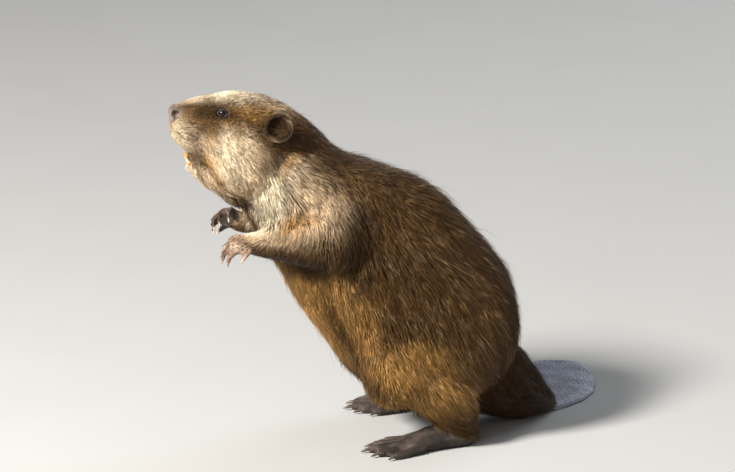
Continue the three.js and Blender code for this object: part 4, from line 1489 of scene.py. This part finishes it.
class BEAVER_OT_eyes(bpy.types.Operator):
    """Eyeballs with a clear bulge, dark iris and pupil"""

    bl_idname = "beaver.eyes"
    bl_label = "Eyes"

    def execute(self, context):
        material = self.eye_material(context.scene.beaver_head.iris)
        for side in SIDES:
            node = f"eye_{side}"
            centre, radius = box_centre(node), eye_radius(side)
            out = gaze_of(side)
            work = bmesh.new()
            bmesh.ops.create_uvsphere(work, u_segments=48, v_segments=32, radius=1)
            turn = out.to_track_quat("Z", "Y").to_matrix()
            gaze, rear = [], []
            for vertex in work.verts:
                ahead = vertex.co.z
                bulge = 1 + CORNEA_RISE * step(0.55, 1.0, ahead)
                gaze.append(math.acos(max(-1, min(1, ahead))))
                rear.append((turn @ vertex.co).dot(Vector(EYE_REAR)))
                vertex.co = centre + turn @ (vertex.co * (radius * EYE_FIT * bulge))
            mesh = ended(work, f"eyeball_{side}")
            mesh.shade_smooth()
            add_values(mesh, "gaze", gaze)
            add_values(mesh, "rear", rear)
            mesh.materials.append(material)
            eye = link(f"eyeball_{side}", mesh)
            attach(eye, "root")
            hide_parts(node)
        return {"FINISHED"}

    @staticmethod
    def eye_material(iris):
        material, tree, shader = new_material("eye", Roughness=0.05, IOR=1.35)
        gaze = attribute(tree, "gaze")
        rear = attribute(tree, "rear")
        place = object_place(tree)
        fibre = noise(tree, place, 1400.0, 3.0)
        pupil = spread(tree, gaze, 0.34, 0.38)
        rim = spread(tree, gaze, 0.8, 0.95)
        flecked = blended(tree, fibre, shade_of(iris, 0.4), shade_of(iris, 1.5))
        base = blended(tree, pupil, (0.002, 0.002, 0.002, 1), flecked)
        base = blended(tree, rim, base, (0.012, 0.009, 0.008, 1))
        base = blended(tree, spread(tree, rear, 0.3, 0.42), base, (0.26, 0.26, 0.34, 1))
        tree.links.new(base, shader.inputs["Base Color"])
        return material


def rounded(node, name, size, rounds):
    """A CAD node as a smooth fine mesh of the same shape."""
    mesh = largest_island(in_voxels(grown([node], 0.05 * MM), name, size))
    set_points(mesh, evened(points_of(mesh), edges_of(mesh), rounds))
    mesh.shade_smooth()
    return mesh


class BEAVER_OT_teeth(bpy.types.Operator):
    """Orange incisors with a worn, paler edge"""

    bl_idname = "beaver.teeth"
    bl_label = "Teeth"

    def execute(self, context):
        settings = context.scene.beaver_head
        for jaw in ("upper", "lower"):
            material = self.enamel(jaw, settings)
            for side in SIDES:
                node = f"{jaw}_incisor_{side}"
                mesh = rounded(node, f"incisor_{jaw}_{side}", 0.45 * MM, 3)
                mesh.materials.append(material)
                tooth = link(f"incisor_{jaw}_{side}", mesh)
                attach(tooth, "root")
                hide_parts(node)
        return {"FINISHED"}

    @staticmethod
    def enamel(jaw, settings):
        low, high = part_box(f"{jaw}_incisor_left")
        look = {"Roughness": 0.24, "Specular_IOR_Level": 0.5}
        material, tree, shader = new_material(f"{jaw}_tooth", **look)
        place = object_place(tree)
        height = put(tree, "ShaderNodeSeparateXYZ", {0: place}).outputs["Z"]
        edge = (low.z, low.z + 4 * MM) if jaw == "upper" else (high.z, high.z - 4 * MM)
        worn = spread(tree, height, edge[1], edge[0])
        streak = noise(tree, stretched(tree, place, (1, 1, 0.12)), 900.0, 4.0)
        deep = shade_of(settings.enamel, 0.55)
        base = blended(tree, spread(tree, streak, 0.3, 0.7), deep, rgba(settings.enamel))
        base = blended(tree, sums(tree, "MULTIPLY", worn, 0.85), base, rgba(settings.ivory))
        tree.links.new(base, shader.inputs["Base Color"])
        bump(tree, shader, streak, 0.3, 0.0002)
        return material


class BEAVER_OT_claws(bpy.types.Operator):
    """Claws of the hands and of the webbed hind feet"""

    bl_idname = "beaver.claws"
    bl_label = "Claws"

    def execute(self, context):
        for limb, flesh, light, dark in (
            ("front", "hand", (0.5, 0.4, 0.28), (0.2, 0.13, 0.08)),
            ("hind", "foot", (0.1, 0.075, 0.055), (0.03, 0.022, 0.016)),
        ):
            material = self.horn(limb, light, dark)
            for side in SIDES:
                for digit in range(1, 6):
                    node = f"{limb}_claw_{side}_{digit}"
                    mesh = rounded(node, f"claw_{limb}_{side}_{digit}", 0.7 * MM, 2)
                    paw = box_centre(f"{flesh}_{side}")
                    set_points(mesh, self.rooted_claw(points_of(mesh), paw))
                    mesh.materials.append(material)
                    claw = link(f"claw_{limb}_{side}_{digit}", mesh)
                    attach(claw, "root")
                    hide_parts(node)
        return {"FINISHED"}

    @staticmethod
    def rooted_claw(points, paw):
        """The claw with its root drawn back into the finger or toe."""
        middle = points.mean(0)
        axis = np.linalg.svd(points - middle, full_matrices=False)[2][0]
        if axis @ (middle - np.array(paw)) < 0:
            axis = -axis
        along = (points - middle) @ axis
        share = 1 - step(0.0, 0.45, (along - along.min()) / np.ptp(along))
        return points - axis * (CLAW_ROOT * MM * share)[:, None]

    @staticmethod
    def horn(limb, light, dark):
        material, tree, shader = new_material(f"{limb}_claw", Roughness=0.3, Specular_IOR_Level=0.5)
        place = object_place(tree)
        streak = noise(tree, stretched(tree, place, (0.3, 1, 1)), 500.0, 4.0)
        cloud = noise(tree, place, 120.0)
        share = sums(tree, "MULTIPLY_ADD", streak, 0.5, sums(tree, "MULTIPLY", cloud, 0.5))
        horn = blended(tree, spread(tree, share, 0.35, 0.65), rgba(dark), rgba(light))
        tree.links.new(horn, shader.inputs["Base Color"])
        bump(tree, shader, streak, 0.35, 0.0003)
        return material


def tube(middles, halves, side, up, around, start):
    """A closed tube round a line: its points, and its triangles with points numbered from start."""
    points, faces = [], []
    for middle, half in zip(middles, halves):
        for turn in np.linspace(0, 2 * math.pi, around, endpoint=False):
            points.append(middle + (side * math.cos(turn) + up * math.sin(turn)) * half)
    last = start + (len(middles) - 1) * around
    for ring in range(start, last, around):
        for j in range(around):
            a, b = ring + j, ring + (j + 1) % around
            faces += [(a, b, b + around), (a, b + around, a + around)]
    for end, flip in ((start, True), (last, False)):
        for j in range(1, around - 1):
            face = (end, end + j, end + j + 1)
            faces.append(face[::-1] if flip else face)
    return points, faces


class BEAVER_OT_whiskers(bpy.types.Operator):
    """Stiff tapering whiskers in rows on both sides of the muzzle"""

    bl_idname = "beaver.whiskers"
    bl_label = "Whiskers"

    def execute(self, context):
        if not SKIN:
            raise RuntimeError("make the skin before the whiskers")
        rng = np.random.default_rng(SEED + 1)
        tree = BVHTree.FromPolygons(SKIN["points"].tolist(), SKIN["triangles"].tolist())
        around, rings = 5, 9
        droop_share, base_half, tip_half = 0.4, 0.26, 0.03
        points, faces = [], []
        for sign in SIDES.values():
            for number in range(context.scene.beaver_head.whiskers):
                row, column = number % WHISKER_ROWS, number // WHISKER_ROWS
                x = WHISKER_START[0] + 7 * column + rng.normal(0, 0.8)
                z = WHISKER_START[2] - 6 * row + rng.normal(0, 0.8)
                root, outward = tree.find_nearest(at(x, sign * WHISKER_START[1], z))[:2]
                length = (20 + 5 * column + rng.uniform(-4, 4)) * MM
                way = (outward * 0.55 + Vector((0.75, sign * 0.3, -0.28))).normalized()
                droop = Vector((0.35, -sign * 0.12, -0.45))
                side = way.orthogonal().normalized()
                up = way.cross(side)
                middles, halves = [], []
                for k in range(rings):
                    share = k / (rings - 1)
                    straight = root - outward * MM + way * length * share
                    middles.append(straight + droop * length * share**2 * droop_share)
                    halves.append((base_half * (1 - share) ** 0.8 + tip_half) * MM)
                more_points, more_faces = tube(middles, halves, side, up, around, len(points))
                points += more_points
                faces += more_faces
        mesh = mesh_of("whiskers", np.array(points), np.array(faces))
        material, shader_tree, shader = new_material("whisker", Roughness=0.35)
        place = object_place(shader_tree)
        cloud = noise(shader_tree, place, 160.0)
        ends = rgba((0.22, 0.16, 0.1)), rgba((0.05, 0.032, 0.022))
        shader_tree.links.new(blended(shader_tree, cloud, *ends), shader.inputs["Base Color"])
        mesh.materials.append(material)
        whiskers = link("whiskers", mesh)
        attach(whiskers, "root")
        return {"FINISHED"}


class BEAVER_PT_panel(bpy.types.Panel):
    """Lists the operators that make the animal"""

    bl_idname = "BEAVER_PT_panel"
    bl_label = "Beaver"
    bl_space_type = "VIEW_3D"
    bl_region_type = "UI"
    bl_category = "Beaver"

    def draw(self, context):
        for operator in OPERATORS:
            self.layout.operator(operator.bl_idname)
        for group in GROUP_NAMES:
            settings = getattr(context.scene, group)
            for prop in settings.bl_rna.properties:
                if prop.identifier not in ("rna_type", "name"):
                    self.layout.prop(settings, prop.identifier)


OPERATORS = (
    BEAVER_OT_stage,
    BEAVER_OT_skin,
    BEAVER_OT_coat,
    BEAVER_OT_eyes,
    BEAVER_OT_teeth,
    BEAVER_OT_claws,
    BEAVER_OT_whiskers,
)
GROUP_NAMES = {
    "beaver_skin": BeaverSkin,
    "beaver_head": BeaverHead,
    "beaver_coat": BeaverCoat,
    "beaver_stage": BeaverStage,
}
CLASSES = (*GROUP_NAMES.values(), *OPERATORS, BEAVER_PT_panel)


def register():
    for each in CLASSES:
        bpy.utils.register_class(each)
    for name, group in GROUP_NAMES.items():
        setattr(bpy.types.Scene, name, PointerProperty(type=group))


def unregister():
    for name in GROUP_NAMES:
        delattr(bpy.types.Scene, name)
    for each in reversed(CLASSES):
        bpy.utils.unregister_class(each)


def main():
    register()
    bpy.ops.beaver.stage()
    bpy.ops.beaver.skin()
    bpy.ops.beaver.coat()
    bpy.ops.beaver.eyes()
    bpy.ops.beaver.teeth()
    bpy.ops.beaver.claws()
    bpy.ops.beaver.whiskers()


if __name__ == "__main__":
    main()
